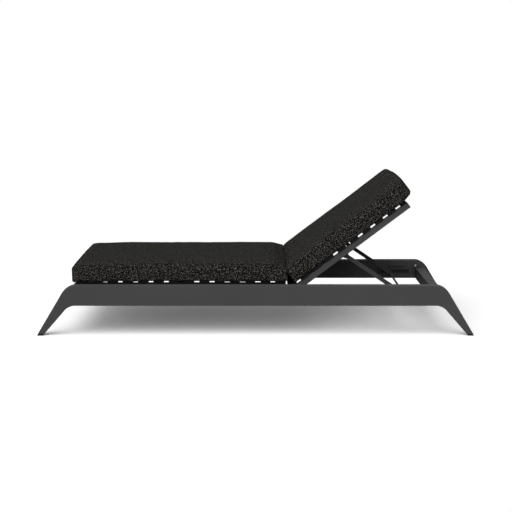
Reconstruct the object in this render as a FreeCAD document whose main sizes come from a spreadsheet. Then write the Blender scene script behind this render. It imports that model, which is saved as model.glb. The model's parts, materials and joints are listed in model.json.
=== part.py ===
import FreeCAD, Part
import math
import os
from types import SimpleNamespace
import Sketcher

# A low adjustable lounger. Two side rails on splayed legs carry a slatted seat. A slatted
# backrest hinges between the rails, and a prop with a cross rod holds it up in the slots of two
# toothed racks. Two loose cushions lie on the slats.
# X runs from the foot end to the head end, Y across, Z up from the floor, with the origin on the
# floor under the middle. Left is the -Y side. Millimetres and degrees.

Vector = FreeCAD.Vector
ACROSS = Vector(0, 1, 0)
Z_TO_Y = FreeCAD.Rotation(Vector(1, 0, 0), -90)

DIMENSIONS = (
    # Rails and legs
    ("overall_width", 740, "outer face to outer face of the side rails"),
    ("rail_top", 240, "floor to the top of the rails"),
    ("rail_height", 96, "depth of a side rail"),
    ("rail_thickness", 45, "thickness of a side rail and of a leg"),
    ("rail_wall", 3, "wall of the rail extrusion"),
    ("rail_edge", 2.5, "bevel of the long edges of rails and legs"),
    ("leg_reach", 1033, "middle to a leg's outer edge, at the floor"),
    ("leg_lean", 145, "how far that edge leans in up to the rail's top"),
    ("leg_foot_width", 29, "width of a leg at the floor"),
    ("leg_inner_lean", 209.5, "how far the inner edge leans in over the same height"),
    ("leg_neck", 62, "joint between rail and leg to the corner where the outer edge turns down"),
    ("leg_shoulder", 70, "radius where the rail's top turns down into the leg"),
    ("leg_crotch", 60, "radius where the leg meets the rail's underside"),
    ("spigot_length", 40, "tongue of a leg inside its rail"),
    ("spigot_play", 0.2, "gap between the tongue and the rail's walls"),
    ("glide_height", 8, "plastic foot under a leg"),
    ("glide_inset", 0.8, "step from the leg's outline to the foot's"),
    ("glide_edge", 2, "rounding of the foot's lower edge"),
    # Cross bars and brackets
    ("end_bar_setback", 184.5, "a leg's outer edge at the floor to the end cross bar's inner face"),
    ("end_bar_width", 45, "end cross bar along X"),
    ("end_bar_height", 57, "end cross bar upright"),
    ("tube_wall", 2.5, "wall of the cross bars, bearers and backrest bars"),
    ("tube_edge", 2, "bevel of their long edges"),
    ("mid_bar_width", 50, "cross bar under the middle of the seat, along X"),
    ("mid_bar_height", 30, "that bar upright"),
    ("hinge_bar_inset", 5.4, "seat's end to the cross bar beside the hinge"),
    ("hinge_bar_width", 40, "that bar along X"),
    ("hinge_bar_height", 40, "that bar upright"),
    ("bracket_plate", 3, "plate of the corner brackets"),
    ("bracket_band", 14, "width of the upright arm of a corner bracket"),
    ("bracket_foot", 52, "height of the upright arm"),
    ("bracket_tail", 34, "length of the upper arm, over the end cross bar"),
    ("bracket_depth", 18, "depth of the upper arm"),
    ("bracket_gap", 2.5, "upright arm to the end cross bar"),
    ("screw_shank", 6, "diameter of the frame screws"),
    ("screw_head", 11, "diameter of their heads"),
    ("screw_head_height", 3.2, "height of their heads"),
    # Seat
    ("bearer_width", 35, "seat bearer across"),
    ("bearer_height", 29, "seat bearer upright"),
    ("lip_height", 6.4, "bearer's lip above the rail, beside the slats' ends"),
    ("lip_thickness", 2.2, "that lip across"),
    ("slat_width", 47, "slat along X"),
    ("slat_thickness", 14, "slat upright"),
    ("slat_wall", 1.6, "wall of the slat extrusion"),
    ("slat_edge", 2, "bevel of the slat's long edges"),
    ("slat_gap", 25.5, "gap aimed at between two slats"),
    ("slat_side_gap", 3, "slat end to the rail"),
    ("slat_end_gap", 3, "first slat to the foot cross bar's inner face"),
    ("plug_flange", 2, "visible rim of a slat's end plug"),
    ("plug_tongue", 12, "part of the plug inside the slat"),
    ("plug_play", 0.2, "gap between the tongue and the slat's walls"),
    # Backrest
    ("hinge_setback", 644.8, "backrest hinge to the head cross bar's inner face"),
    ("hinge_gap", 16.8, "seat's end to the flat backrest's foot end"),
    ("bar_depth", 29, "backrest bar, upright when flat"),
    ("bar_width", 25, "backrest bar across"),
    ("bar_side_gap", 8, "backrest bar to the rail"),
    ("bar_foot", 43.5, "backrest bar beyond the hinge, toward the foot"),
    ("bar_head", 645, "hinge to the backrest bar's head end"),
    ("bar_cap", 3, "rim of a bar's end cap"),
    ("head_slat_width", 33, "the narrower slat at the head end"),
    ("head_slat_inset", 3, "that slat's edge to the bar's head end"),
    ("rest_angle", 37.24, "backrest above flat, as drawn"),
    ("steepest_angle", 45, "backrest above flat, at its steepest"),
    # Hinge
    ("pin_diameter", 10, "hinge pin"),
    ("pin_head", 18, "diameter of its head"),
    ("pin_head_height", 4, "height of its head"),
    ("nut_height", 5, "nut on the pin inside the rail"),
    ("bush_wall", 2, "wall of the plastic bush in a backrest bar"),
    ("spacer_wall", 4, "wall of the spacer between bar and rail"),
    ("running_gap", 0.3, "gap between pieces that slide past each other"),
    ("pivot_play", 0.05, "radial gap of a pin in its hole"),
    # Prop
    ("prop_station", 266.2, "hinge to the prop's pivot, along the backrest"),
    ("prop_drop", 21.5, "that pivot below the middle of the backrest bar"),
    ("lug_length", 44, "lug along the backrest bar"),
    ("lug_plate", 5, "plate of the lug"),
    ("lug_border", 9, "lug's edge beyond the pivot"),
    ("lug_seat", 14.5, "height of the lug against the bar"),
    ("lug_corner", 5.4, "rounding of the lug's lower corners"),
    ("arm_width", 19, "prop arm"),
    ("arm_plate", 8, "its thickness"),
    ("eye_diameter", 25, "rounded ends of a prop arm"),
    ("prop_bolt", 8, "pivot bolt of the prop"),
    ("prop_bolt_head", 13, "its head and nut across"),
    ("prop_bolt_head_height", 4.5, "height of its head and nut"),
    ("rod_diameter", 10, "cross rod of the prop"),
    ("rod_cap", 20, "diameter of the rod's end caps"),
    ("rod_cap_length", 3, "length of an end cap"),
    ("rod_end_gap", 6, "end cap to the rail"),
    # Racks
    ("rack_standoff", 20, "rack's face to the rail"),
    ("rack_plate", 4, "plate of the rack"),
    ("rack_head", 26, "rod's axis to the top of the rack"),
    ("rack_base", 31.5, "rod's axis to the underside of the rack"),
    ("rack_border", 6, "end of the slot to the end of the rack"),
    ("rack_end_gap", 30.5, "end of the rack to the head cross bar"),
    ("slot_headroom", 5.5, "slot above the rod"),
    ("slot_play", 1.0, "slot beyond the rod at its two ends"),
    ("rod_rise", 0.8, "rod above the crests between the notches"),
    ("notch_depth", 3.2, "notch below the crests"),
    ("notch_play", 0.5, "notch's radius beyond the rod's"),
    ("ramp_run", 13, "sloping side of a notch"),
    ("rack_screw_drop", 20, "rod's axis to the rack's screws below it"),
    ("rack_screw_inset", 22, "rack's end to its screws"),
    ("pad_height", 3.2, "rubber pads on the racks, under the flat backrest"),
    ("pad_length", 90, "those pads along X"),
    ("pad_inset", 25, "rack's head end to its pad"),
    # Cushions
    ("cushion_side_lap", 5, "cushion's side beyond the rail's inner face"),
    ("cushion_thickness", 88, "cushion at its edges"),
    ("cushion_crown", 7, "how much higher its middle is"),
    ("cushion_draw", 7, "how far the sides pull in between the corners"),
    ("cushion_bulge", 4, "how far the sides swell out at half height"),
    ("cushion_corner", 16, "rounding of the long edges"),
    ("cushion_end_round", 24, "rounding of the open ends"),
    ("cushion_fold_round", 9, "rounding of the seat cushion's end at the fold"),
    ("cushion_seat", 0.3, "gap between cushion and slats"),
    ("seat_cushion_overhang", 18.5, "seat cushion beyond the first slat"),
    ("back_cushion_overhang", 39.5, "back cushion beyond the bar's head end"),
    ("back_cushion_foot", 8, "back cushion beyond the bar's foot end"),
    ("back_cushion_tuck", 13, "its half width less at the fold, clear of the rails"),
    ("back_cushion_taper", 75, "length over which it widens"),
    ("fold_gap", 0.5, "between the two cushions with the backrest at its steepest"),
    ("overrun", 1, "how far a cutting tool passes its face"),
)
NOTCH_ANGLES_BELOW_REST = (12, 21, 30)
END_ROUND_SHARES = (0, 0.3, 1)
MIDDLE_SHARES = (0.25, 0.75)
LARGEST_CORNER_SHARE = 1 / 3
END_CROWN_SHARE = 0.05
TOLERANCE = 1e-6

doc = FreeCAD.newDocument("lounger")
sheet = doc.addObject("Spreadsheet::Sheet", "sheet")
for row, (alias, amount, meaning) in enumerate(DIMENSIONS, start=1):
    sheet.set(f"A{row}", alias)
    sheet.set(f"B{row}", str(amount))
    sheet.setAlias(f"B{row}", alias)
    sheet.set(f"C{row}", meaning)
doc.recompute()
d = SimpleNamespace(**{alias: amount for alias, amount, _ in DIMENSIONS})

# Places that follow from the driving dimensions, as expressions where a sketch is bound to them
RAIL_BOTTOM = "sheet.rail_top - sheet.rail_height"
RAIL_REACH = "sheet.leg_reach - sheet.leg_lean - sheet.leg_neck"
END_BAR = "sheet.leg_reach - sheet.end_bar_setback"
HINGE = END_BAR + " - sheet.hinge_setback"
RACK_TOP = "sheet.rail_top - sheet.bar_depth - sheet.running_gap - sheet.pad_height"
ROD_LEVEL = RACK_TOP + " - sheet.rack_head"
RACK_FOOT = ROD_LEVEL + " - sheet.rack_base"
RACK_SCREWS = ROD_LEVEL + " - sheet.rack_screw_drop"

rail_reach = sheet.evalExpression(RAIL_REACH)
end_bar_station = sheet.evalExpression(END_BAR)
hinge_station = sheet.evalExpression(HINGE)
rack_top = sheet.evalExpression(RACK_TOP)
rod_level = sheet.evalExpression(ROD_LEVEL)
rail_outer = d.overall_width / 2
rail_middle = rail_outer - d.rail_thickness / 2
rail_inner = rail_outer - d.rail_thickness
rail_bottom = sheet.evalExpression(RAIL_BOTTOM)
bearer_bottom = d.rail_top - d.bearer_height
seat_end = hinge_station - d.bar_foot - d.hinge_gap
hinge_height = d.rail_top - d.bar_depth / 2
bar_outer = rail_inner - d.bar_side_gap
bar_inner = bar_outer - d.bar_width
bar_middle = (bar_outer + bar_inner) / 2
slat_level = d.rail_top + d.slat_thickness / 2
slat_reach = rail_inner - d.slat_side_gap
lug_inner = bar_inner - d.lug_plate
arm_outer = lug_inner - d.running_gap
arm_inner = arm_outer - d.arm_plate
rack_face = rail_inner - d.rack_standoff
rack_end = end_bar_station - d.rack_end_gap
rod_radius = d.rod_diameter / 2
rod_flat_station = rack_end - d.rack_border - d.slot_play - rod_radius
slot_crest = rod_level - rod_radius - d.rod_rise
slot_top = rod_level + rod_radius + d.slot_headroom
prop_length = math.hypot(rod_flat_station - hinge_station - d.prop_station,
                         hinge_height - d.prop_drop - rod_level)


def back_point(along, rise, angle):
    """X and Z of a point of the backrest at an angle, from its place on the flat backrest."""
    turn = math.radians(angle)
    x = hinge_station + along * math.cos(turn) - rise * math.sin(turn)
    z = hinge_height + along * math.sin(turn) + rise * math.cos(turn)
    return x, z


def rod_station(angle):
    """X of the prop's rod with the backrest at an angle and the rod at its level in the racks."""
    x, z = back_point(d.prop_station, -d.prop_drop, angle)
    return x + math.sqrt(prop_length ** 2 - (z - rod_level) ** 2)


slot_start = rod_station(d.steepest_angle) - rod_radius - d.slot_play
slot_end = rod_flat_station + rod_radius + d.slot_play
rack_start = slot_start - d.rack_border
BACK = FreeCAD.Placement(Vector(hinge_station, 0, hinge_height),
                         FreeCAD.Rotation(Vector(0, -1, 0), d.rest_angle))
prop_x, prop_z = back_point(d.prop_station, -d.prop_drop, d.rest_angle)
prop_fall = math.degrees(math.asin((prop_z - rod_level) / prop_length))
PROP = FreeCAD.Placement(Vector(prop_x, 0, prop_z), FreeCAD.Rotation(ACROSS, prop_fall))
SIDES = (("left", -1), ("right", 1))
NODES = []


def node(piece, label, place=FreeCAD.Placement()):
    """Give a finished sub-part its name and place, and list it for writing."""
    piece.Label = label
    piece.Placement = place
    NODES.append(piece)
    return piece


def at(x, y, z, turn=FreeCAD.Rotation()):
    return FreeCAD.Placement(Vector(x, y, z), turn)


def half_turn(x, y, z):
    return at(x, y, z, FreeCAD.Rotation(Vector(0, 0, 1), 180))


# Helpers for bodies, sketches and primitives


def new_body(name):
    return doc.addObject("PartDesign::Body", name)


def new_sketch(body, role, offset=None):
    """A sketch on one of the body's own origin planes, moved out along its normal if asked."""
    sketch = body.newObject("Sketcher::SketchObject", body.Name + "_sketch")
    plane = next(f for f in body.Origin.OriginFeatures if f.Role == role)
    sketch.AttachmentSupport = (plane, "")
    sketch.MapMode = "FlatFace"
    for axis, expression in (offset or {}).items():
        sketch.setExpression(f".AttachmentOffset.Base.{axis}", expression)
    return sketch


def outline(sketch, corners):
    """A closed outline of straight lines, with both places of each corner bound to the sheet."""
    points = [Vector(sheet.evalExpression(x), sheet.evalExpression(y), 0) for x, y in corners]
    first = sketch.GeometryCount
    count = len(points)
    for k in range(count):
        sketch.addGeometry(Part.LineSegment(points[k], points[(k + 1) % count]))
    for k, corner in enumerate(corners):
        sketch.addConstraint(Sketcher.Constraint("Coincident", first + k, 2, first + (k + 1) % count, 1))
        for kind, expression, place in zip(("DistanceX", "DistanceY"), corner, points[k]):
            bound = sketch.addConstraint(Sketcher.Constraint(kind, -1, 1, first + k, 1, place))
            sketch.setExpression(f"Constraints[{bound}]", expression)


def rectangle(sketch, width, height):
    """A rectangle about the sketch's origin."""
    corners = [(f"{a}({width}) / 2", f"{b}({height}) / 2")
               for a, b in (("-", "-"), ("", "-"), ("", ""), ("-", ""))]
    outline(sketch, corners)


def circles(sketch, places, diameter):
    """Circles of one diameter at places given as pairs of expressions."""
    for x, y in places:
        centre = Vector(sheet.evalExpression(x), sheet.evalExpression(y), 0)
        size = sheet.evalExpression(diameter)
        circle = sketch.addGeometry(Part.Circle(centre, Vector(0, 0, 1), size / 2))
        for kind, expression, place in zip(("DistanceX", "DistanceY"), (x, y), centre):
            bound = sketch.addConstraint(Sketcher.Constraint(kind, -1, 1, circle, 3, place))
            sketch.setExpression(f"Constraints[{bound}]", expression)
        bound = sketch.addConstraint(Sketcher.Constraint("Diameter", circle, size))
        sketch.setExpression(f"Constraints[{bound}]", diameter)


def pad(body, sketch, length, side="Symmetric", backward=False):
    feature = body.newObject("PartDesign::Pad", body.Name + "_pad")
    feature.Profile = sketch
    feature.SideType = side
    feature.Reversed = backward
    feature.setExpression("Length", length)
    doc.recompute()
    return feature


def pocket(body, sketch, length, side="Symmetric", backward=False):
    """Cut a sketch's outline out of a body, and make sure that it took something away."""
    before = body.Shape.Volume
    feature = body.newObject("PartDesign::Pocket", body.Name + "_pocket")
    feature.Profile = sketch
    feature.SideType = side
    feature.Reversed = backward
    feature.setExpression("Length", length)
    doc.recompute()
    if not body.Shape.Volume < before:
        raise ValueError(f"the cut in {body.Name} takes nothing away")
    return feature


def dress(body, kind, role, amount, wanted):
    """A fillet or chamfer on those edges of the body's tip that the test picks."""
    tip = body.Tip
    picked = [f"Edge{k}" for k, edge in enumerate(tip.Shape.Edges, start=1) if wanted(edge)]
    feature = body.newObject(f"PartDesign::{kind}", f"{body.Name}_{kind.lower()}")
    feature.Base = (tip, picked)
    feature.setExpression(role, amount)
    doc.recompute()
    return feature


def fillet(body, radius, wanted):
    return dress(body, "Fillet", "Radius", radius, wanted)


def chamfer(body, size, wanted):
    return dress(body, "Chamfer", "Size", size, wanted)


def is_line(edge):
    return edge.Curve.TypeId == "Part::GeomLine"


def along(edge, axis):
    return is_line(edge) and abs(edge.tangentAt(edge.FirstParameter).dot(axis)) > 1 - TOLERANCE


def same(a, b):
    return abs(a - b) < TOLERANCE


def edges_at(x, z):
    """A test for the edge that runs across at one corner of an outline."""
    return lambda edge: along(edge, ACROSS) and same(edge.CenterOfMass.x, x) and same(edge.CenterOfMass.z, z)


def profile_bar(name, run, width, height, length, wall=None, edge=None):
    """A bar along X or Y about its own middle, hollow where a wall is given."""
    body = new_body(name)
    sketch = new_sketch(body, "YZ_Plane" if run == "X" else "XZ_Plane")
    rectangle(sketch, width, height)
    if wall:
        rectangle(sketch, f"({width}) - 2 * ({wall})", f"({height}) - 2 * ({wall})")
    pad(body, sketch, length)
    if edge:
        box = body.Shape.BoundBox
        axis = Vector(1, 0, 0) if run == "X" else ACROSS
        chamfer(body, edge, lambda e: along(e, axis) and same(abs(e.CenterOfMass.z), box.ZMax))
    return body


def cylinder(name, diameter, length, y, x="0", z="0"):
    """A round piece along +Y that starts at y."""
    piece = doc.addObject("Part::Cylinder", name)
    piece.setExpression("Radius", f"({diameter}) / 2")
    piece.setExpression("Height", length)
    piece.Placement = at(sheet.evalExpression(x), y, sheet.evalExpression(z), Z_TO_Y)
    return piece


def hexagon(name, across, length, y):
    """A six-sided piece along +Y that starts at y, as wide as asked over its flats."""
    piece = doc.addObject("Part::Prism", name)
    piece.Polygon = 6
    piece.setExpression("Circumradius", f"({across}) / sqrt(3)")
    piece.setExpression("Height", length)
    piece.Placement = at(0, y, 0, Z_TO_Y)
    return piece


def fuse(name, pieces):
    result = doc.addObject("Part::MultiFuse", name)
    result.Shapes = pieces
    return result


def cut(name, base, tool):
    result = doc.addObject("Part::Cut", name)
    result.Base = base
    result.Tool = tool
    return result


def group(label, *sets):
    """One node of small pieces. Each set is a pattern piece and the places that hold a link to it."""
    links = []
    for piece, places in sets:
        for place in places:
            link = doc.addObject("App::Link", f"{label}_item")
            link.LinkedObject = piece
            link.Placement = place
            links.append(link)
    compound = doc.addObject("Part::Compound", label)
    compound.Links = links
    return node(compound, label)


def mirrored(label, left):
    """The right-hand twin of a left-hand piece."""
    twin = doc.addObject("Part::Mirroring", label)
    twin.Source = left
    twin.Normal = ACROSS
    return node(twin, label)


# Side rails: hollow extrusions, drilled through the inner wall for the hinge and the racks


def side_rails():
    rail = profile_bar("side_rail", "X", "sheet.rail_thickness", "sheet.rail_height",
                       f"2 * ({RAIL_REACH})", "sheet.rail_wall", "sheet.rail_edge")
    middle = d.rail_top - d.rail_height / 2
    pin = new_sketch(rail, "XZ_Plane")
    circles(pin, [(HINGE, f"{hinge_height - middle}")],
            "sheet.pin_diameter + 2 * sheet.pivot_play")
    pocket(rail, pin, "sheet.rail_thickness / 2", "One side")
    screws = new_sketch(rail, "XZ_Plane")
    circles(screws, [(f"{x}", f"{RACK_SCREWS} - {middle}") for x in rack_screw_stations()],
            "sheet.screw_shank + 2 * sheet.pivot_play")
    pocket(rail, screws, "sheet.rail_thickness / 2", "One side")
    node(rail, "side_rail_left", at(0, -rail_middle, middle))
    mirrored("side_rail_right", rail)


def rack_screw_stations():
    return rack_start + d.rack_screw_inset, rack_end - d.rack_screw_inset


# Legs: castings that carry the rail's profile round the shoulder and down to the floor

LEG_OUTER = "sheet.leg_reach - sheet.leg_lean * ({0}) / sheet.rail_top"
LEG_INNER = "sheet.leg_reach - sheet.leg_foot_width - sheet.leg_inner_lean * ({0}) / sheet.rail_top"


def leg(name):
    body = new_body(name)
    profile = new_sketch(body, "XZ_Plane")
    outline(profile, [
        (RAIL_REACH, RAIL_BOTTOM),
        (LEG_INNER.format(RAIL_BOTTOM), RAIL_BOTTOM),
        (LEG_INNER.format("sheet.glide_height"), "sheet.glide_height"),
        (LEG_OUTER.format("sheet.glide_height"), "sheet.glide_height"),
        (LEG_OUTER.format("sheet.rail_top"), "sheet.rail_top"),
        (RAIL_REACH, "sheet.rail_top")])
    pad(body, profile, "sheet.rail_thickness")
    fillet(body, "sheet.leg_shoulder", edges_at(d.leg_reach - d.leg_lean, d.rail_top))
    crotch = d.leg_reach - d.leg_foot_width - d.leg_inner_lean * rail_bottom / d.rail_top
    fillet(body, "sheet.leg_crotch", edges_at(crotch, rail_bottom))

    def on_rim(edge):
        middle = edge.CenterOfMass
        return (same(abs(middle.y), d.rail_thickness / 2) and not same(middle.x, rail_reach)
                and not same(middle.z, d.glide_height))

    chamfer(body, "sheet.rail_edge", on_rim)
    tongue = new_sketch(body, "YZ_Plane", {"z": RAIL_REACH,
                                           "y": "sheet.rail_top - sheet.rail_height / 2"})
    inside = "sheet.{0} - 2 * sheet.rail_wall - 2 * sheet.spigot_play"
    rectangle(tongue, inside.format("rail_thickness"), inside.format("rail_height"))
    pad(body, tongue, "sheet.spigot_length", "One side", backward=True)
    return body


def glide():
    """The plastic foot under one leg, in the leg's own lines."""
    body = new_body("glide")
    profile = new_sketch(body, "XZ_Plane")
    outline(profile, [
        (LEG_INNER.format("0") + " + sheet.glide_inset", "0"),
        (LEG_OUTER.format("0") + " - sheet.glide_inset", "0"),
        (LEG_OUTER.format("sheet.glide_height") + " - sheet.glide_inset", "sheet.glide_height"),
        (LEG_INNER.format("sheet.glide_height") + " + sheet.glide_inset", "sheet.glide_height")])
    pad(body, profile, "sheet.rail_thickness - 2 * sheet.glide_inset")
    fillet(body, "sheet.glide_edge", lambda edge: same(edge.CenterOfMass.z, 0))
    return body


def legs():
    for side, sign in SIDES:
        node(leg(f"head_leg_{side}"), f"head_leg_{side}", at(0, sign * rail_middle, 0))
        node(leg(f"foot_leg_{side}"), f"foot_leg_{side}", half_turn(0, sign * rail_middle, 0))
    places = [turned(0, sign * rail_middle, 0) for _, sign in SIDES for turned in (at, half_turn)]
    group("leg_glides", (glide(), places))


# Cross bars and corner brackets


def cross_bars():
    between = "sheet.overall_width - 2 * sheet.rail_thickness"
    middle = end_bar_station + d.end_bar_width / 2
    level = rail_bottom + d.end_bar_height / 2
    for name, x in (("head_cross_bar", middle), ("foot_cross_bar", -middle)):
        bar = profile_bar(name, "Y", "sheet.end_bar_width", "sheet.end_bar_height", between,
                          "sheet.tube_wall", "sheet.tube_edge")
        node(bar, name, at(x, 0, level))
    bar = profile_bar("mid_cross_bar", "Y", "sheet.mid_bar_width", "sheet.mid_bar_height", between,
                      "sheet.tube_wall", "sheet.tube_edge")
    node(bar, "mid_cross_bar", at((seat_end - end_bar_station) / 2, 0, bearer_bottom - d.mid_bar_height / 2))
    bar = profile_bar("hinge_cross_bar", "Y", "sheet.hinge_bar_width", "sheet.hinge_bar_height",
                      between, "sheet.tube_wall", "sheet.tube_edge")
    beside_hinge = seat_end - d.hinge_bar_inset - d.hinge_bar_width / 2
    node(bar, "hinge_cross_bar", at(beside_hinge, 0, bearer_bottom - d.hinge_bar_height / 2))


def corner_brackets():
    """Flat angle plates on the rails' inner faces, over the ends of the head cross bar."""
    plate = new_body("bracket")
    profile = new_sketch(plate, "XZ_Plane")
    inner = END_BAR + " - sheet.bracket_gap"
    near = inner + " - sheet.bracket_band"
    far = near + " + sheet.bracket_tail"
    under = RAIL_BOTTOM + " + sheet.end_bar_height + sheet.bracket_gap"
    top = under + " + sheet.bracket_depth"
    foot = top + " - sheet.bracket_foot"
    outline(profile, [(near, foot), (inner, foot), (inner, under), (far, under), (far, top), (near, top)])
    pad(plate, profile, "sheet.bracket_plate")
    hole = new_sketch(plate, "XZ_Plane")
    circles(hole, [(END_BAR, top + " - sheet.bracket_depth / 2")],
            "sheet.screw_shank + 2 * sheet.pivot_play")
    pocket(plate, hole, "sheet.bracket_plate + 2 * sheet.overrun")
    face = rail_inner - d.bracket_plate / 2
    group("corner_brackets", (plate, [at(0, sign * face, 0) for _, sign in SIDES]))


# Seat: two bearers on the rails' inner faces, and the slats across them


def slat_plug():
    """The end plug of a slat: a rim as large as the slat and a tongue inside it, along +Y."""
    body = new_body("slat_plug")
    rim = new_sketch(body, "XZ_Plane")
    rectangle(rim, "sheet.slat_width", "sheet.slat_thickness")
    pad(body, rim, "sheet.plug_flange", "One side")
    chamfer(body, "sheet.slat_edge", lambda edge: along(edge, ACROSS))
    tongue = new_sketch(body, "XZ_Plane")
    inside = "sheet.{0} - 2 * sheet.slat_wall - 2 * sheet.plug_play"
    rectangle(tongue, inside.format("slat_width"), inside.format("slat_thickness"))
    pad(body, tongue, "sheet.plug_tongue", "One side", backward=True)
    return body


def slat(name, width="sheet.slat_width"):
    between = "sheet.overall_width - 2 * sheet.rail_thickness"
    length = between + " - 2 * sheet.slat_side_gap - 2 * sheet.plug_flange"
    return profile_bar(name, "Y", width, "sheet.slat_thickness", length,
                       "sheet.slat_wall", "sheet.slat_edge")


def slat_count(run):
    """How many slats fill a run that starts and ends with one."""
    return round((run + d.slat_gap) / (d.slat_width + d.slat_gap))


def plug_places(stations, rise):
    """Both ends of each slat: the rim faces outward on either side."""
    seat = slat_reach - d.plug_flange
    for x in stations:
        yield at(x, -seat, rise)
        yield half_turn(x, seat, rise)


def seat_bearer(side, sign, length):
    """A tube whose outer wall runs on above its top, as a lip beside the slats' ends."""
    body = profile_bar(f"seat_bearer_{side}", "X", "sheet.bearer_width", "sheet.bearer_height",
                       length, "sheet.tube_wall", "sheet.tube_edge")
    lip = new_sketch(body, "YZ_Plane")
    outer, inner = (f"{sign} * (sheet.bearer_width / 2 - {depth})" for depth in ("0", "sheet.lip_thickness"))
    low = "sheet.bearer_height / 2 - sheet.tube_edge"
    high = "sheet.bearer_height / 2 + sheet.lip_height"
    outline(lip, [(outer, low), (outer, high), (inner, high), (inner, low)])
    pad(body, lip, length)
    return body


def seat(plug):
    start = -end_bar_station
    length = f"{seat_end} + {END_BAR}"
    for side, sign in SIDES:
        bearer = seat_bearer(side, sign, length)
        place = at((start + seat_end) / 2, sign * (rail_inner - d.bearer_width / 2),
                   d.rail_top - d.bearer_height / 2)
        node(bearer, f"seat_bearer_{side}", place)
    first = start + d.slat_end_gap + d.slat_width / 2
    last = seat_end - d.slat_width / 2
    count = slat_count(last - first + d.slat_width)
    stations = [first + (last - first) * k / (count - 1) for k in range(count)]
    for number, x in enumerate(stations, start=1):
        name = f"seat_slat_{number:02d}"
        node(slat(name), name, at(x, 0, slat_level))
    group("seat_slat_plugs", (plug, plug_places(stations, slat_level)))


# Backrest, laid out flat about the hinge and then raised to its rest angle


def on_back(x, y, z, turn=FreeCAD.Rotation()):
    return BACK.multiply(at(x, y, z, turn))


def backrest(plug):
    length = "sheet.bar_foot + sheet.bar_head - 2 * sheet.bar_cap"
    bar_centre = (d.bar_head - d.bar_foot) / 2
    for side, sign in SIDES:
        name = f"back_bar_{side}"
        bar = profile_bar(name, "X", "sheet.bar_width", "sheet.bar_depth", length,
                          "sheet.tube_wall", "sheet.tube_edge")
        bore = new_sketch(bar, "XZ_Plane")
        circles(bore, [("(sheet.bar_foot - sheet.bar_head) / 2", "0")],
                "sheet.pin_diameter + 2 * sheet.pivot_play + 2 * sheet.bush_wall")
        pocket(bar, bore, "sheet.bar_width + 2 * sheet.overrun")
        node(bar, name, on_back(bar_centre, sign * bar_middle, 0))
    cap = new_body("bar_cap_piece")
    rim = new_sketch(cap, "YZ_Plane")
    rectangle(rim, "sheet.bar_width", "sheet.bar_depth")
    pad(cap, rim, "sheet.bar_cap", "One side")
    chamfer(cap, "sheet.tube_edge", lambda edge: along(edge, Vector(1, 0, 0)))
    tongue = new_sketch(cap, "YZ_Plane")
    inside = "sheet.{0} - 2 * sheet.tube_wall - 2 * sheet.plug_play"
    rectangle(tongue, inside.format("bar_width"), inside.format("bar_depth"))
    pad(cap, tongue, "sheet.plug_tongue", "One side", backward=True)
    ends = [turned(x, sign * bar_middle, 0) for _, sign in SIDES
            for turned, x in ((at, d.bar_head - d.bar_cap), (half_turn, d.bar_cap - d.bar_foot))]
    group("back_bar_caps", (cap, [BACK.multiply(place) for place in ends]))

    rise = (d.bar_depth + d.slat_thickness) / 2
    head_edge = d.bar_head - d.head_slat_inset
    run = head_edge - d.head_slat_width + d.bar_foot
    count = slat_count(run - d.slat_gap)
    stations = [d.slat_width / 2 - d.bar_foot + run * k / count for k in range(count)]
    for number, x in enumerate(stations, start=1):
        name = f"back_slat_{number:02d}"
        node(slat(name), name, on_back(x, 0, rise))
    head = slat("back_head_slat", "sheet.head_slat_width")
    node(head, "back_head_slat", on_back(head_edge - d.head_slat_width / 2, 0, rise))
    group("back_slat_plugs", (plug, [BACK.multiply(place) for place in plug_places(stations, rise)]))


# Hinge: a pin through bush, spacer and the rail's inner wall, with a nut inside the rail


def ring(name, outside, inside, length, outer=cylinder):
    """A tube along +Y from its own origin, round outside unless another form is asked for."""
    tube = outer(name + "_outside", outside, length, 0)
    hole = cylinder(name + "_hole", inside, f"({length}) + 2 * sheet.overrun", -d.overrun)
    return cut(name, tube, hole)


def pair(piece, y, *place_of):
    """A piece that reaches from its origin along +Y, and its places on the left and, turned, the right."""
    ways = (-y, FreeCAD.Rotation()), (y, FreeCAD.Rotation(Vector(0, 0, 1), 180))
    return piece, [place(*way) for place in place_of for way in ways]


def hinge():
    def on_axis(y, turn):
        return at(hinge_station, y, hinge_height, turn)

    def in_bar(y, turn):
        return on_back(0, y, 0, turn)

    bore = "sheet.pin_diameter + 2 * sheet.pivot_play"
    tip = rail_inner + d.rail_wall + d.nut_height
    head = bar_inner - d.running_gap
    shank = cylinder("pin_shank", "sheet.pin_diameter", f"{tip - head} + sheet.pin_head_height", 0)
    button = cylinder("pin_button", "sheet.pin_head", "sheet.pin_head_height", tip - head)
    group("hinge_pins", pair(fuse("pin", [shank, button]), tip, on_axis))
    nut = ring("nut", "sheet.pin_head", bore, "sheet.nut_height", hexagon)
    group("hinge_nuts", pair(nut, tip, on_axis))
    bush = ring("bush", f"{bore} + 2 * sheet.bush_wall", bore, "sheet.bar_width")
    group("hinge_bushes", pair(bush, bar_outer, in_bar))
    return pair(ring("hinge_spacer", f"{bore} + 2 * sheet.spacer_wall", bore,
                     "sheet.bar_side_gap - sheet.running_gap"), rail_inner, on_axis)


# Prop: lugs under the backrest bars, two flat arms, and the rod that runs in the racks


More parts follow.
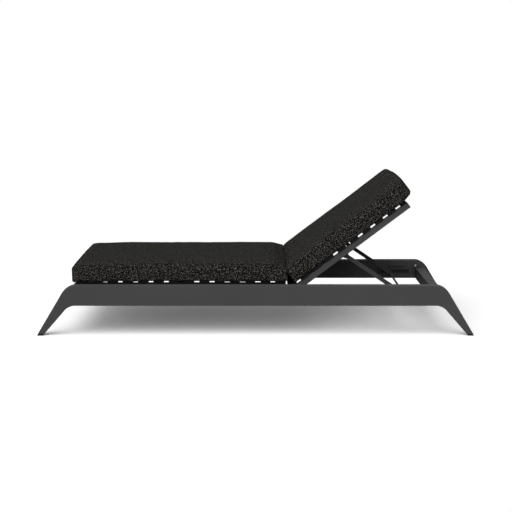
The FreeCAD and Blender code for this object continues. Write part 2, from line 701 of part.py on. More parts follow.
def prop_lugs():
    """A plate on each backrest bar's inner face that hangs down round the prop's pivot."""
    half = "sheet.lug_length / 2"
    foot = "sheet.prop_drop + sheet.lug_border"
    lug = new_body("lug")
    profile = new_sketch(lug, "XZ_Plane")
    outline(profile, [
        (f"-{half}", "-sheet.lug_seat / 2"), (f"-{half}", "sheet.lug_seat / 2"),
        (half, "sheet.lug_seat / 2"), (half, "-sheet.lug_seat / 2"),
        ("sheet.lug_border", f"-({foot})"), ("-sheet.lug_border", f"-({foot})")])
    pad(lug, profile, "sheet.lug_plate")
    fillet(lug, "sheet.lug_corner", lambda edge: along(edge, ACROSS)
           and same(edge.CenterOfMass.z, -(d.prop_drop + d.lug_border)))
    hole = new_sketch(lug, "XZ_Plane")
    circles(hole, [("0", "-sheet.prop_drop")], "sheet.prop_bolt + 2 * sheet.pivot_play")
    pocket(lug, hole, "sheet.lug_plate + 2 * sheet.overrun")
    middle = (bar_inner + lug_inner) / 2
    group("prop_lugs", (lug, [on_back(d.prop_station, sign * middle, 0) for _, sign in SIDES]))


def prop():
    def in_lug(y, turn):
        return on_back(d.prop_station, y, -d.prop_drop, turn)

    bore = "sheet.prop_bolt + 2 * sheet.pivot_play"
    nut_end = bar_inner + d.prop_bolt_head_height
    head = arm_inner - d.running_gap
    shank = cylinder("prop_bolt_shank", "sheet.prop_bolt",
                     f"{nut_end - head} + sheet.prop_bolt_head_height", 0)
    button = cylinder("prop_bolt_button", "sheet.prop_bolt_head", "sheet.prop_bolt_head_height",
                      nut_end - head)
    group("prop_bolts", pair(fuse("prop_bolt", [shank, button]), nut_end, in_lug))
    nut = ring("prop_nut", "sheet.prop_bolt_head", bore, "sheet.prop_bolt_head_height", hexagon)
    group("prop_nuts", pair(nut, nut_end, in_lug))

    for side, sign in SIDES:
        name = f"prop_arm_{side}"
        strap = doc.addObject("Part::Box", name + "_strap")
        strap.Length = prop_length
        strap.setExpression("Width", "sheet.arm_plate")
        strap.setExpression("Height", "sheet.arm_width")
        strap.Placement = at(0, -d.arm_plate / 2, -d.arm_width / 2)
        eyes = [cylinder(f"{name}_eye", "sheet.eye_diameter", "sheet.arm_plate", -d.arm_plate / 2, x)
                for x in ("0", f"{prop_length}")]
        deep = "sheet.arm_plate + 2 * sheet.overrun"
        start = -d.arm_plate / 2 - d.overrun
        holes = [cylinder(name + "_bolt_hole", bore, deep, start),
                 cylinder(name + "_rod_hole", "sheet.rod_diameter", deep, start, f"{prop_length}")]
        arm = cut(name, fuse(name + "_blank", [strap, *eyes]), fuse(name + "_holes", holes))
        node(arm, name, PROP.multiply(at(0, sign * (arm_inner + arm_outer) / 2, 0)))
    cap_face = rail_inner - d.rod_end_gap
    half = cap_face - d.rod_cap_length
    rod = cylinder("prop_rod", "sheet.rod_diameter", f"{2 * half}", -half,
                   f"{rod_station(d.rest_angle)}", ROD_LEVEL)
    node(rod, "prop_rod", rod.Placement)
    def on_rod_end(y, turn):
        return at(rod_station(d.rest_angle), y, rod_level, turn.multiply(Z_TO_Y))

    cap = cylinder("rod_cap", "sheet.rod_cap", "sheet.rod_cap_length", 0)
    group("prop_rod_caps", pair(cap, cap_face, on_rod_end))


# Racks: folded channels on the rails, each with a slot whose lower edge holds the rod's notches


def notch_tools():
    """What cuts one rack's slot: its straight run, and a seat and a ramp for each notch."""
    deep = "sheet.rack_plate + 2 * sheet.overrun"
    start = -rack_face - d.rack_plate - d.overrun
    run = doc.addObject("Part::Box", "slot_run")
    run.Length = slot_end - slot_start
    run.setExpression("Width", deep)
    run.Height = slot_top - slot_crest
    run.Placement = at(slot_start, start, slot_crest)
    tools = [run]
    floor = slot_crest - d.notch_depth
    seat_radius = rod_radius + d.notch_play
    slope = math.degrees(math.atan2(d.notch_depth, d.ramp_run))
    for angle in (*NOTCH_ANGLES_BELOW_REST, d.rest_angle, d.steepest_angle):
        x = rod_station(angle)
        tools.append(cylinder("notch_seat", "sheet.rod_diameter + 2 * sheet.notch_play", deep, start,
                              f"{x}", f"{floor + seat_radius}"))
        if angle == d.steepest_angle:
            continue
        ramp = doc.addObject("Part::Box", "notch_ramp")
        ramp.Length = math.hypot(d.ramp_run, d.notch_depth)
        ramp.setExpression("Width", deep)
        ramp.setExpression("Height", "sheet.notch_depth")
        ramp.Placement = at(x - d.ramp_run, start, slot_crest, FreeCAD.Rotation(ACROSS, slope))
        tools.append(ramp)
    return fuse("slot_tools", tools)


def racks():
    channel = new_body("rack_channel")
    profile = new_sketch(channel, "YZ_Plane")
    rail = "-(sheet.overall_width / 2 - sheet.rail_thickness)"
    face = rail + " + sheet.rack_standoff"
    outline(profile, [
        (rail, RACK_FOOT), (face, RACK_FOOT), (face, RACK_TOP), (rail, RACK_TOP),
        (rail, RACK_TOP + " - sheet.rack_plate"),
        (face + " - sheet.rack_plate", RACK_TOP + " - sheet.rack_plate"),
        (face + " - sheet.rack_plate", RACK_FOOT + " + sheet.rack_plate"),
        (rail, RACK_FOOT + " + sheet.rack_plate")])
    pad(channel, profile, f"{rack_end - rack_start}", "One side")
    fillet(channel, "sheet.rack_plate", lambda edge: along(edge, Vector(1, 0, 0))
           and same(edge.CenterOfMass.y, -rack_face))
    holes = new_sketch(channel, "XZ_Plane")
    circles(holes, [(f"{x - rack_start}", RACK_SCREWS) for x in rack_screw_stations()],
            "sheet.screw_shank + 2 * sheet.pivot_play")
    pocket(channel, holes, "sheet.overall_width")
    channel.Placement = at(rack_start, 0, 0)
    left = cut("rack_left", channel, notch_tools())
    node(left, "rack_left")
    mirrored("rack_right", left)

    pads = []
    for _, sign in SIDES:
        rubber = doc.addObject("Part::Box", "rest_pad")
        rubber.setExpression("Length", "sheet.pad_length")
        rubber.Width = bar_outer - rack_face
        rubber.setExpression("Height", "sheet.pad_height")
        y = rack_face if sign > 0 else -bar_outer
        rubber.Placement = at(rack_end - d.pad_inset - d.pad_length, y, rack_top)
        pads.append(rubber)
    stack = doc.addObject("Part::Compound", "rest_pads")
    stack.Links = pads
    node(stack, "rest_pads")


# Screws of the brackets and racks, and the spacers behind racks and hinge bars


def fixings(hinge_spacers):
    def on_rail(x, z):
        return lambda y, turn: at(x, y, z, turn)

    def screw(name, grip, head_form):
        """A screw along +Y, its tip first."""
        shank = cylinder(name + "_shank", "sheet.screw_shank", f"{grip}", 0)
        head = head_form(name + "_head", "sheet.screw_head", "sheet.screw_head_height", grip)
        return fuse(name, [shank, head])

    corner = on_rail(end_bar_station,
                     rail_bottom + d.end_bar_height + d.bracket_gap + d.bracket_depth / 2)
    on_racks = [on_rail(x, rod_level - d.rack_screw_drop) for x in rack_screw_stations()]
    inside = rail_inner + d.rail_wall
    group("frame_screws", pair(screw("corner_screw", d.bracket_plate, cylinder), rail_inner, corner),
          pair(screw("rack_screw", inside - rack_face, hexagon), inside, *on_racks))
    spacer = ring("rack_spacer", "sheet.screw_head", "sheet.screw_shank + 2 * sheet.pivot_play",
                  "sheet.rack_standoff - sheet.rack_plate", hexagon)
    group("frame_spacers", pair(spacer, rail_inner, *on_racks), hinge_spacers)


# Cushions: crowned on top, their sides drawn in between the corners and swollen at half height


def cushion_section(x, half, base, top, crown):
    """One cross-section at x: flat base, rounded long edges, bulged sides, crowned top."""
    corner = min(d.cushion_corner, (top - base) * LARGEST_CORNER_SHARE)
    nick = corner * (1 - math.sqrt(0.5))
    middle = (base + top) / 2
    bulge = d.cushion_bulge * (top - base) / d.cushion_thickness

    def arc(*points):
        return Part.Arc(*[Vector(x, y, z) for y, z in points]).toShape()

    right = [
        arc((half - corner, base), (half - nick, base + nick), (half, base + corner)),
        arc((half, base + corner), (half + bulge, middle), (half, top - corner)),
        arc((half, top - corner), (half - nick, top - nick), (half - corner, top))]
    roof = arc((half - corner, top), (0, top + crown), (corner - half, top))
    left = [
        arc((corner - half, top), (nick - half, top - nick), (-half, top - corner)),
        arc((-half, top - corner), (-half - bulge, middle), (-half, base + corner)),
        arc((-half, base + corner), (nick - half, base + nick), (corner - half, base))]
    floor = Part.LineSegment(Vector(x, corner - half, base), Vector(x, half - corner, base)).toShape()
    return Part.Wire([*right, roof, *left, floor])


def bow(share):
    """Nothing at either end and one in the middle, along a parabola."""
    return 4 * share * (1 - share)


def cushion_form(start, end, base, start_round, end_round, half_at):
    """A cushion lofted from end to end. A rounded end shrinks over a quarter circle, and one with
    no rounding has a single section."""
    stations = [(start + share * start_round, share, start_round)
                for share in (END_ROUND_SHARES if start_round else END_ROUND_SHARES[-1:])]
    stations += [(start + share * (end - start), 1, start_round) for share in MIDDLE_SHARES]
    stations += [(end - share * end_round, share, end_round) for share in reversed(END_ROUND_SHARES)]
    sections = []
    for x, share, rounding in stations:
        inset = rounding * (1 - math.sqrt(1 - (1 - share) ** 2))
        height = bow((x - start) / (end - start))
        draw = d.cushion_draw * height
        crown = d.cushion_crown * min(1, math.sqrt(height) + END_CROWN_SHARE)
        sections.append(cushion_section(x, half_at(x) - draw - inset, base + inset,
                                        base + d.cushion_thickness - inset, crown))
    return Part.makeLoft(sections, True, True)


def cushions():
    """The seat cushion, and the back cushion whose end is cut to meet it at the steepest angle."""
    half_width = rail_inner + d.cushion_side_lap
    seat_piece = doc.addObject("Part::Feature", "seat_cushion")
    corner_along = d.bar_foot + d.back_cushion_foot
    corner_rise = d.bar_depth / 2 + d.slat_thickness + d.cushion_seat
    fold = back_point(-corner_along, corner_rise, d.steepest_angle)[0] - d.fold_gap
    seat_start = d.slat_end_gap - end_bar_station - d.seat_cushion_overhang
    seat_piece.Shape = cushion_form(seat_start, fold, d.rail_top + d.slat_thickness + d.cushion_seat,
                                    d.cushion_end_round, d.cushion_fold_round, lambda x: half_width)
    node(seat_piece, "seat_cushion")

    def back_half(x):
        """Half the back cushion's width: it widens from the fold, where it lies between the rails."""
        share = min(1, max(0, (x + corner_along) / d.back_cushion_taper))
        return half_width - d.back_cushion_tuck * (1 - share) ** 2

    blank = cushion_form(-corner_along, d.bar_head + d.back_cushion_overhang, corner_rise,
                         0, d.cushion_end_round, back_half)
    reach = 2 * half_width
    wedge = Part.makeBox(reach, 2 * reach, reach, Vector(-reach, -reach, -reach / 2))
    wedge.rotate(Vector(0, 0, 0), ACROSS, d.steepest_angle)
    wedge.translate(Vector(-corner_along, 0, corner_rise))
    back_piece = doc.addObject("Part::Feature", "back_cushion")
    back_piece.Shape = blank.cut(wedge)
    node(back_piece, "back_cushion", BACK)


side_rails()
legs()
cross_bars()
corner_brackets()
plug = slat_plug()
seat(plug)
backrest(plug)
hinge_spacers = hinge()
prop_lugs()
prop()
racks()
fixings(hinge_spacers)
cushions()
doc.recompute()

for thing in doc.Objects:
    if "Invalid" in thing.State or "Error" in thing.State:
        raise ValueError(f"{thing.Label} did not build: {thing.State}")
for piece in NODES:
    if piece.Shape.isNull() or not piece.Shape.isValid():
        raise ValueError(f"{piece.Label} has no valid shape")

os.makedirs("parts", exist_ok=True)
for piece in NODES:
    piece.Shape.exportStep(f"parts/{piece.Label}.step")
print(f"{len(NODES)} nodes, {sum(len(piece.Shape.Solids) for piece in NODES)} solids")
print(f"prop length {prop_length:.2f}, rod at {rod_station(d.rest_angle):.2f}")
print(f"slot of the racks {slot_start:.1f} to {slot_end:.1f}")
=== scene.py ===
# %% [markdown]
# # A low lounger with a propped backrest
# The frame is charcoal powder-coated aluminium: two side rails on splayed legs, slats across them, and
# a slatted backrest that a prop holds up in toothed racks. Two loose foam cushions in a heathered
# near-black weave lie on the slats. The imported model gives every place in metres, so nothing is fitted
# here by eye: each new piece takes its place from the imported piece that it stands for.

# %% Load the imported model
import bpy
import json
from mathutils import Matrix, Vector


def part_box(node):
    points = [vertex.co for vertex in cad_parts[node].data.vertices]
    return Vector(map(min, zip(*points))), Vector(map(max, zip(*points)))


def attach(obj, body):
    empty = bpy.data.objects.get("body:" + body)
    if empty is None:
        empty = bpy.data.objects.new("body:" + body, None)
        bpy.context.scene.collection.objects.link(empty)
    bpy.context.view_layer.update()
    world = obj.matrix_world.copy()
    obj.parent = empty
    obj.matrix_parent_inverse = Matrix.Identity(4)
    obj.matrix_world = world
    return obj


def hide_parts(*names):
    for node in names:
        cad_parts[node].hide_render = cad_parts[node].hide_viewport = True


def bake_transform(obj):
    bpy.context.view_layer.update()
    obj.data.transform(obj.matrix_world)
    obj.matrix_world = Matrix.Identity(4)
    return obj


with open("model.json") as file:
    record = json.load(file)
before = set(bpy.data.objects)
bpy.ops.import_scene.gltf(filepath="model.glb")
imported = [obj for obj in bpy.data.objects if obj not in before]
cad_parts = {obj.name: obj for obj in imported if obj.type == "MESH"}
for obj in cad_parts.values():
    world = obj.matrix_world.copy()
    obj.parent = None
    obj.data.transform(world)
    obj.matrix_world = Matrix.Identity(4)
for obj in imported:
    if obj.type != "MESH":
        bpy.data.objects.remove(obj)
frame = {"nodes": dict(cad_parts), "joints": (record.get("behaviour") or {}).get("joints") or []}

for left_over in ("Cube", "Light", "Camera"):
    if left_over in bpy.data.objects:
        bpy.data.objects.remove(bpy.data.objects[left_over])

import json
import math
import bmesh
import numpy as np
from mathutils import Matrix, Vector, noise

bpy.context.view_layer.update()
nodes = frame["nodes"]
joints = {joint["name"]: joint for joint in frame["joints"]}

# %% [markdown]
# ## Camera
# The photograph was taken from the side, a little above the cushions, with a long lens. The lens, the
# height and the tilt were worked out from the rails' edges and the four feet, so the camera is set down
# with those numbers.

# %% Set down the camera
CAMERA_PLACE = (0.00226, -5.4022, 1.24364)
CAMERA_TILT = math.radians(80.284)
SENSOR_WIDTH, FOCAL_LENGTH = 36, 77.04
bpy.ops.object.select_all(action="DESELECT")
bpy.ops.object.camera_add(location=CAMERA_PLACE, rotation=(CAMERA_TILT, 0, 0))
camera = bpy.context.active_object
camera.data.sensor_width = SENSOR_WIDTH
camera.data.lens = FOCAL_LENGTH
bpy.context.scene.camera = camera
bpy.context.scene.view_settings.view_transform = "Standard"
print("camera", [round(c, 3) for c in camera.location], "lens", camera.data.lens)

# %% [markdown]
# ## Shader sums
# A finish is a sum of small patterns. Written with plain Python signs it stays readable, so one class
# wraps a socket and turns + - * / into Math nodes. Every other node comes from one method that takes
# its type, its settings and what its sockets hold.

# %% Write sums as shader nodes
class Link:
    """A socket of a finish that can be added, subtracted, multiplied and divided."""

    def __init__(self, finish, socket):
        self.finish, self.socket = finish, socket

    def sum(self, operation, first, second=None):
        sockets = {0: first} if second is None else {0: first, 1: second}
        return self.finish.add("ShaderNodeMath", {"operation": operation}, sockets)

    def __add__(self, other): return self.sum("ADD", self, other)
    def __radd__(self, other): return self.sum("ADD", other, self)
    def __sub__(self, other): return self.sum("SUBTRACT", self, other)
    def __rsub__(self, other): return self.sum("SUBTRACT", other, self)
    def __mul__(self, other): return self.sum("MULTIPLY", self, other)
    def __truediv__(self, other): return self.sum("DIVIDE", self, other)
    def floor(self): return self.sum("FLOOR", self)
    def sine(self): return self.sum("SINE", self)


class Finish:
    """A material made of nodes."""

    def __init__(self, name, **constants):
        self.material = bpy.data.materials.new(name)
        self.material.use_nodes = True
        self.nodes = self.material.node_tree.nodes
        self.links = self.material.node_tree.links
        self.shader = self.nodes["Principled BSDF"]
        for socket, amount in constants.items():
            self.shader.inputs[socket.replace("_", " ")].default_value = amount

    def add(self, kind, settings=None, sockets=None, out=0):
        made = self.nodes.new(kind)
        for name, amount in (settings or {}).items():
            setattr(made, name, amount)
        for name, amount in (sockets or {}).items():
            self.feed(self.find(made.inputs, name), amount)
        return Link(self, self.find(made.outputs, out))

    @staticmethod
    def find(sockets, name):
        """A socket by its number, or the one in use that has the name."""
        if isinstance(name, int):
            return sockets[name]
        return next(socket for socket in sockets if socket.name == name and socket.enabled)

    def feed(self, socket, amount):
        if isinstance(amount, Link):
            self.links.new(amount.socket, socket)
        else:
            socket.default_value = amount

    def show(self, **sockets):
        for name, link in sockets.items():
            self.feed(self.shader.inputs[name.replace("_", " ")], link)

    def place(self):
        """The piece's own coordinates, in metres."""
        return self.add("ShaderNodeTexCoord", out="Object")

    def grain(self, place, scale, detail=2.0, rough=0.5):
        """Noise about 0.5, with so many waves to the unit."""
        return self.add("ShaderNodeTexNoise", {}, {"Vector": place, "Scale": scale, "Detail": detail,
                                                   "Roughness": rough}, out="Fac")

    def step(self, amount, low, high):
        """0 below low, 1 above high, smooth between."""
        return self.add("ShaderNodeMapRange", {"interpolation_type": "SMOOTHSTEP"},
                        {"Value": amount, "From Min": low, "From Max": high})

    def blend(self, share, first, second):
        """The first colour where the share is 0, the second where it is 1."""
        return self.add("ShaderNodeMix", {"data_type": "RGBA"},
                        {"Factor": share, "A": first, "B": second}, out="Result")

    def bump(self, height, depth, strength=1.0):
        return self.add("ShaderNodeBump", {}, {"Height": height, "Distance": depth, "Strength": strength})


print("sums ready")

# %% [markdown]
# ## Studio
# The picture was lit by one very large soft lamp, high in front and a little to the left, over a pale
# floor that throws light back: the near rail is even, the far rail behind the raised backrest is nearly
# black, and the shadow on the floor has no edge. A sun lamp with a very wide disc gives that light at
# the same strength over the whole floor. The world is dim as a light and white where it is seen. To the
# light the floor is grey paper. To the camera it is bright, so that it shows the shadow, and it turns
# plain white further out.

# %% Light the studio
LAMP_STRENGTH, LAMP_DISC = 3.5, math.radians(75)
ROOM_AS_LIGHT, ROOM_AS_SEEN = 0.18, 1.0
PAPER, FLOOR_GLOW = 0.45, 0.125
WHITE_FROM, WHITE_BY = 1.6, 2.6
bpy.ops.object.light_add(type="SUN", rotation=(0, 0, 0))
lamp = bpy.context.active_object
toward_lamp = Vector((-0.35, -0.8, 1.0))
lamp.rotation_euler = toward_lamp.to_track_quat("Z", "Y").to_euler()
lamp.data.energy = LAMP_STRENGTH
lamp.data.angle = LAMP_DISC

world = bpy.data.worlds.new("studio")
bpy.context.scene.world = world
world.use_nodes = True
room = world.node_tree
seen = room.nodes.new("ShaderNodeLightPath")
dim, white = (room.nodes.new("ShaderNodeBackground") for _ in range(2))
either = room.nodes.new("ShaderNodeMixShader")
dim.inputs["Strength"].default_value = ROOM_AS_LIGHT
white.inputs["Strength"].default_value = ROOM_AS_SEEN
dim.inputs["Color"].default_value = white.inputs["Color"].default_value = (1, 1, 1, 1)
first, second = (room.nodes.new("ShaderNodeMath") for _ in range(2))
for either_ray in (first, second):
    either_ray.operation = "MAXIMUM"
for source, target in (
        (seen.outputs["Is Camera Ray"], first.inputs[0]), (seen.outputs["Is Glossy Ray"], first.inputs[1]),
        (first.outputs[0], second.inputs[0]), (seen.outputs["Is Transmission Ray"], second.inputs[1]),
        (second.outputs[0], either.inputs["Fac"]), (dim.outputs[0], either.inputs[1]),
        (white.outputs[0], either.inputs[2]),
        (either.outputs[0], room.nodes["World Output"].inputs["Surface"])):
    room.links.new(source, target)

bpy.ops.mesh.primitive_plane_add(size=40)
floor = bpy.context.active_object
floor.name = "studio_floor"
ground = Finish("studio_floor")
away = ground.add("ShaderNodeVectorMath", {"operation": "LENGTH"}, {0: ground.place()}, out="Value")
paper = ground.add("ShaderNodeBsdfDiffuse", {}, {"Color": (PAPER, PAPER, PAPER, 1)})
bright = ground.add("ShaderNodeBsdfDiffuse", {}, {"Color": (1, 1, 1, 1)})
glow = ground.add("ShaderNodeEmission", {}, {"Strength": FLOOR_GLOW})
blank = ground.add("ShaderNodeEmission", {}, {"Strength": 1.0})
near = ground.add("ShaderNodeAddShader", {}, {0: bright, 1: glow})
shown = ground.add("ShaderNodeMixShader", {}, {0: ground.step(away, WHITE_FROM, WHITE_BY), 1: near, 2: blank})
ray = ground.add("ShaderNodeLightPath", out="Is Camera Ray")
both = ground.add("ShaderNodeMixShader", {}, {0: ray, 1: paper, 2: shown})
ground.links.new(both.socket, ground.nodes["Material Output"].inputs["Surface"])
floor.data.materials.append(ground.material)
print("lamp toward", [round(c, 2) for c in toward_lamp.normalized()])

# %% [markdown]
# ## Finishes
# Powder coating is paint baked from powder: a very fine sandy skin over a slight orange peel, satin and
# not glossy. The same skin is on rails, slats and brackets, in three depths of grey, so one function
# makes all three. The slats' and bearers' depth is near black, which is painted shade for the shade
# they lie in under the cushions. Its sand is under a millimetre, so it shows close up and leaves the
# rails even from where the photograph was taken. Sand, peel and the wide clouds of tone are given in
# waves to the metre.

# %% Mix the powder coatings
SAND, PEEL, CLOUD = 1300, 170, 3


def powder_coat(name, tone, roughness, gloss=0.06):
    coat = Finish(name, Specular_IOR_Level=gloss)
    place = coat.place()
    sand = coat.grain(place, SAND, 2)
    peel = coat.grain(place, PEEL, 1)
    cloud = coat.grain(place, CLOUD, 2)
    share = coat.step(cloud * 0.5 + sand * 0.3 + peel * 0.2, 0.3, 0.7)
    dark, light = ([*(c * k for c in tone), 1] for k in (0.9, 1.1))
    coat.show(Base_Color=coat.blend(share, dark, light), Roughness=roughness + (sand - 0.5) * 0.16,
              Normal=coat.bump(sand * 0.6 + peel, 0.00012, 0.6))
    return coat.material


frame_coat = powder_coat("frame_coating", (0.0565, 0.0565, 0.0565), 0.66)
# Near black: painted shade for the slats, which lie in shade under the cushions.
shade_painted_slat_coat = powder_coat("slat_coating", (0.0055, 0.0055, 0.0057), 0.75, 0.02)
bracket_coat = powder_coat("bracket_coating", (0.04, 0.04, 0.041), 0.62)
print("coatings mixed")

# %% [markdown]
# ## Metal, plastic and rubber
# Bolts are turned stainless steel, with faint streaks round the axis that a stretched noise gives. The
# feet, plugs and caps are moulded black plastic with a fine leathery grain, the bushes smoother nylon,
# and the rest pads dull rubber.

# %% Mix the steel, plastic, nylon and rubber
STREAKS = 900
steel = Finish("stainless", Metallic=1.0)
stretched = steel.add("ShaderNodeMapping", {}, {"Vector": steel.place(), "Scale": (1, 6, 1)})
turning = steel.grain(stretched, STREAKS, 3)
steel.show(Base_Color=steel.blend(turning, (0.42, 0.42, 0.43, 1), (0.62, 0.62, 0.62, 1)),
           Roughness=0.24 + turning * 0.2, Normal=steel.bump(turning, 0.00004, 0.5))


def moulded(name, tone, roughness, grain, depth, gloss=0.1):
    """A moulded skin: its grain in waves to the metre and the depth of that grain in metres."""
    made = Finish(name, Specular_IOR_Level=gloss)
    place = made.place()
    leather = made.grain(place, grain, 2)
    cloud = made.grain(place, 20, 1)
    dark, light = ([*(c * k for c in tone), 1] for k in (0.8, 1.25))
    made.show(Base_Color=made.blend(cloud * 0.6 + leather * 0.4, dark, light),
              Roughness=roughness + (leather - 0.5) * 0.2, Normal=made.bump(leather, depth, 0.7))
    return made.material


black_plastic = moulded("black_plastic", (0.006, 0.006, 0.0065), 0.6, 1500, 0.0001)
nylon = moulded("nylon", (0.02, 0.02, 0.022), 0.45, 700, 0.00004, 0.25)
rubber = moulded("rubber", (0.018, 0.018, 0.018), 0.8, 2200, 0.00012)
print("steel, plastic, nylon and rubber mixed")

# %% [markdown]
# ## Cushion weave
# The cover is a plain weave of near-black yarns with paler fibres spun in, which gather in nubs a few
# millimetres wide: from where the photograph was taken they are the fine speckle on the cushions' sides.
# The pattern follows the flat panels that the cover is cut from, so it reads the piece's own map, which
# is in metres of cloth. A checker decides which of the two yarns lies on top, each yarn gets its own row
# of dashes, and the same rows give the bump. The flecks fade towards each yarn's edge: painted shade
# between the yarns. The seam value, one along a seam and nothing away from it, darkens the crease with
# painted shade. The photograph shows hardly any fleck on the cushions' tops, so the plain value of the
# top panels draws the flecks in there and lifts the ground to the tone that is seen: painted sheen for
# the light on the tops.

# %% Weave the cushion fabric
FLECK_WARM, FLECK_GREY = (0.205, 0.174, 0.152, 1), (0.168, 0.166, 0.161, 1)
YARN_DARK, YARN_LIGHT = (0.0038, 0.0037, 0.0036, 1), (0.006, 0.0058, 0.0057, 1)
# The top panels' lighter ground and thinned flecks are painted sheen for the light on the tops.
TOP_SHEEN_GROUND, SEAM_SHADE = (0.0191, 0.0197, 0.018, 1), (0.0025, 0.0025, 0.0025, 1)
# The crease colour is painted shade in the seams' grooves.
TOP_SHEEN_CALM = 0.6
FLECK_FROM, FLECK_BY = 0.525, 0.595
ROWS_APART = 7.31


def weave_cloth(name, pitch=0.0021, dash=0.0068, nub=0.0056):
    cloth = Finish(name, Roughness=1.0, Specular_IOR_Level=0.0)
    flat = cloth.add("ShaderNodeUVMap", {"uv_map": "weave"})
    split = cloth.add("ShaderNodeSeparateXYZ", {}, {0: flat})
    along, across = (Link(cloth, split.socket.node.outputs[k]) for k in (0, 1))

    def yarn(over, run, number):
        """Pale dashes of the yarns that run one way, each yarn with its own."""
        row = (over / pitch).floor()
        spot = cloth.add("ShaderNodeCombineXYZ", {}, {0: row * ROWS_APART + number, 1: run / dash, 2: number})
        return cloth.grain(spot, 1.0, 2, 0.6)

    warp, weft = yarn(along, across, 3.0), yarn(across, along, 11.0)
    turn = math.pi / pitch
    warp_hill, weft_hill = (along * turn).sine(), (across * turn).sine()
    on_top = cloth.step(warp_hill * weft_hill, -0.25, 0.25)
    fibre = warp * on_top + weft * (1 - on_top)
    height = (warp_hill * warp_hill) * on_top + (weft_hill * weft_hill) * (1 - on_top)
    nubs = cloth.grain(flat, 1 / nub, 1, 0.6)
    # The flecks fade towards each yarn's edge by its height: painted shade between the yarns.
    yarn_shaded_fleck = cloth.step(fibre * 0.6 + nubs * 0.4, FLECK_FROM, FLECK_BY) * (height * 0.9 + 0.35)
    tint = cloth.grain(flat, 120, 1)
    fleck = cloth.blend(tint, FLECK_WARM, FLECK_GREY)
    cloud = cloth.grain(flat, 9, 2)
    ground = cloth.blend(cloud, YARN_DARK, YARN_LIGHT)
    # The plain value marks the top panels for painted sheen: a lighter ground with fewer flecks.
    plain = cloth.add("ShaderNodeAttribute", {"attribute_name": "plain"}, out="Fac")
    sheen_lifted = cloth.blend(plain, ground, TOP_SHEEN_GROUND)
    flecked_with_sheen = cloth.blend(yarn_shaded_fleck * (1 - plain * TOP_SHEEN_CALM), sheen_lifted, fleck)
    seam = cloth.add("ShaderNodeAttribute", {"attribute_name": "seam"}, out="Fac")
    # Painted shade along the seams, where the cloth is pressed in.
    seam_shaded = cloth.blend(cloth.step(seam, 0.2, 0.8) * 0.95, flecked_with_sheen, SEAM_SHADE)
    cloth.show(Base_Color=seam_shaded, Normal=cloth.bump(height + fibre * 0.5, 0.0005, 0.6))
    return cloth.material


fabric = weave_cloth("cushion_fabric")
print("fabric woven")

# %% [markdown]
# ## Bench helpers
# Every rigid piece starts as a primitive at its size and place, and is shaped in edit mode. These few
# helpers pick parts of a mesh by a test, set a block between two corners, and round its edges. At the
# end Weighted Normal turns each corner's normal to its broadest face, so the broad faces stay flat
# beside the rounding and light breaks only along the edge. Two places less than a hair apart count as
# the same.

# %% Set out the bench helpers
HAIR = 1e-5


def clear_bench():
    if bpy.context.mode != "OBJECT":
        bpy.ops.object.mode_set(mode="OBJECT")
    bpy.ops.object.select_all(action="DESELECT")


def take(piece):
    """Object mode, with only this piece selected and active."""
    clear_bench()
    piece.select_set(True)
    bpy.context.view_layer.objects.active = piece
    return piece


def pick(piece, kind, wanted):
    """Edit mode, with those vertices, edges or faces selected that the test wants."""
    if bpy.context.mode != "EDIT_MESH":
        take(piece)
        bpy.ops.object.mode_set(mode="EDIT")
    bpy.ops.mesh.select_mode(type={"verts": "VERT", "edges": "EDGE", "faces": "FACE"}[kind])
    bpy.ops.mesh.select_all(action="DESELECT")
    shape = bmesh.from_edit_mesh(piece.data)
    for part in getattr(shape, kind):
        part.select_set(bool(wanted(part)))
    shape.select_flush_mode()
    bmesh.update_edit_mesh(piece.data)


def facing(axis, sign):
    """A test for faces that look along an axis, or against it with the sign -1."""
    return lambda face: sign * face.normal[axis] > 0.9


def settle(piece, name=None):
    """Object mode, with the place in the mesh and the object at the origin."""
    take(piece)
    if name:
        piece.name = piece.data.name = name
    bpy.ops.object.transform_apply(location=True, rotation=True, scale=True)
    return piece


def block(name, low, high):
    clear_bench()
    bpy.ops.mesh.primitive_cube_add(size=1, location=[(a + b) / 2 for a, b in zip(low, high)])
    piece = bpy.context.active_object
    piece.scale = [b - a for a, b in zip(low, high)]
    return settle(piece, name)


def round_edges(piece, radius, steps=3, sharpest=40):
    """Bevel every edge that turns by more than so many degrees."""
    take(piece)
    rounding = piece.modifiers.new("rounding", "BEVEL")
    rounding.width, rounding.segments = radius, steps
    rounding.limit_method, rounding.angle_limit = "ANGLE", math.radians(sharpest)
    bpy.ops.object.modifier_apply(modifier=rounding.name)
    return piece


def even_out(piece):
    """Smooth shading that leaves the broad faces flat."""
    take(piece)
    bpy.ops.object.shade_smooth_by_angle(angle=math.radians(38))
    broad = piece.modifiers.new("broad faces", "WEIGHTED_NORMAL")
    broad.weight, broad.keep_sharp = 100, True
    bpy.ops.object.modifier_apply(modifier=broad.name)


def close_ends(piece, axis, ends):
    """Fill the openings at those places along an axis."""
    for end in ends:
        pick(piece, "edges", lambda edge: all(abs(v.co[axis] - end) < HAIR for v in edge.verts))
        bpy.ops.mesh.edge_face_add()
    bpy.ops.mesh.select_all(action="SELECT")
    bpy.ops.mesh.normals_make_consistent(inside=False)
    return settle(piece)


def bar(name, low, high, axis, radius, steps=3, shaped=None):
    """An extruded bar along an axis: its long edges are rounded and its ends cut square."""
    piece = block(name, low, high)
    if shaped:
        shaped(piece)
    pick(piece, "faces", lambda face: abs(face.normal[axis]) > 0.9)
    bpy.ops.mesh.delete(type="FACE")
    clear_bench()
    round_edges(piece, radius, steps)
    return close_ends(piece, axis, (low[axis], high[axis]))


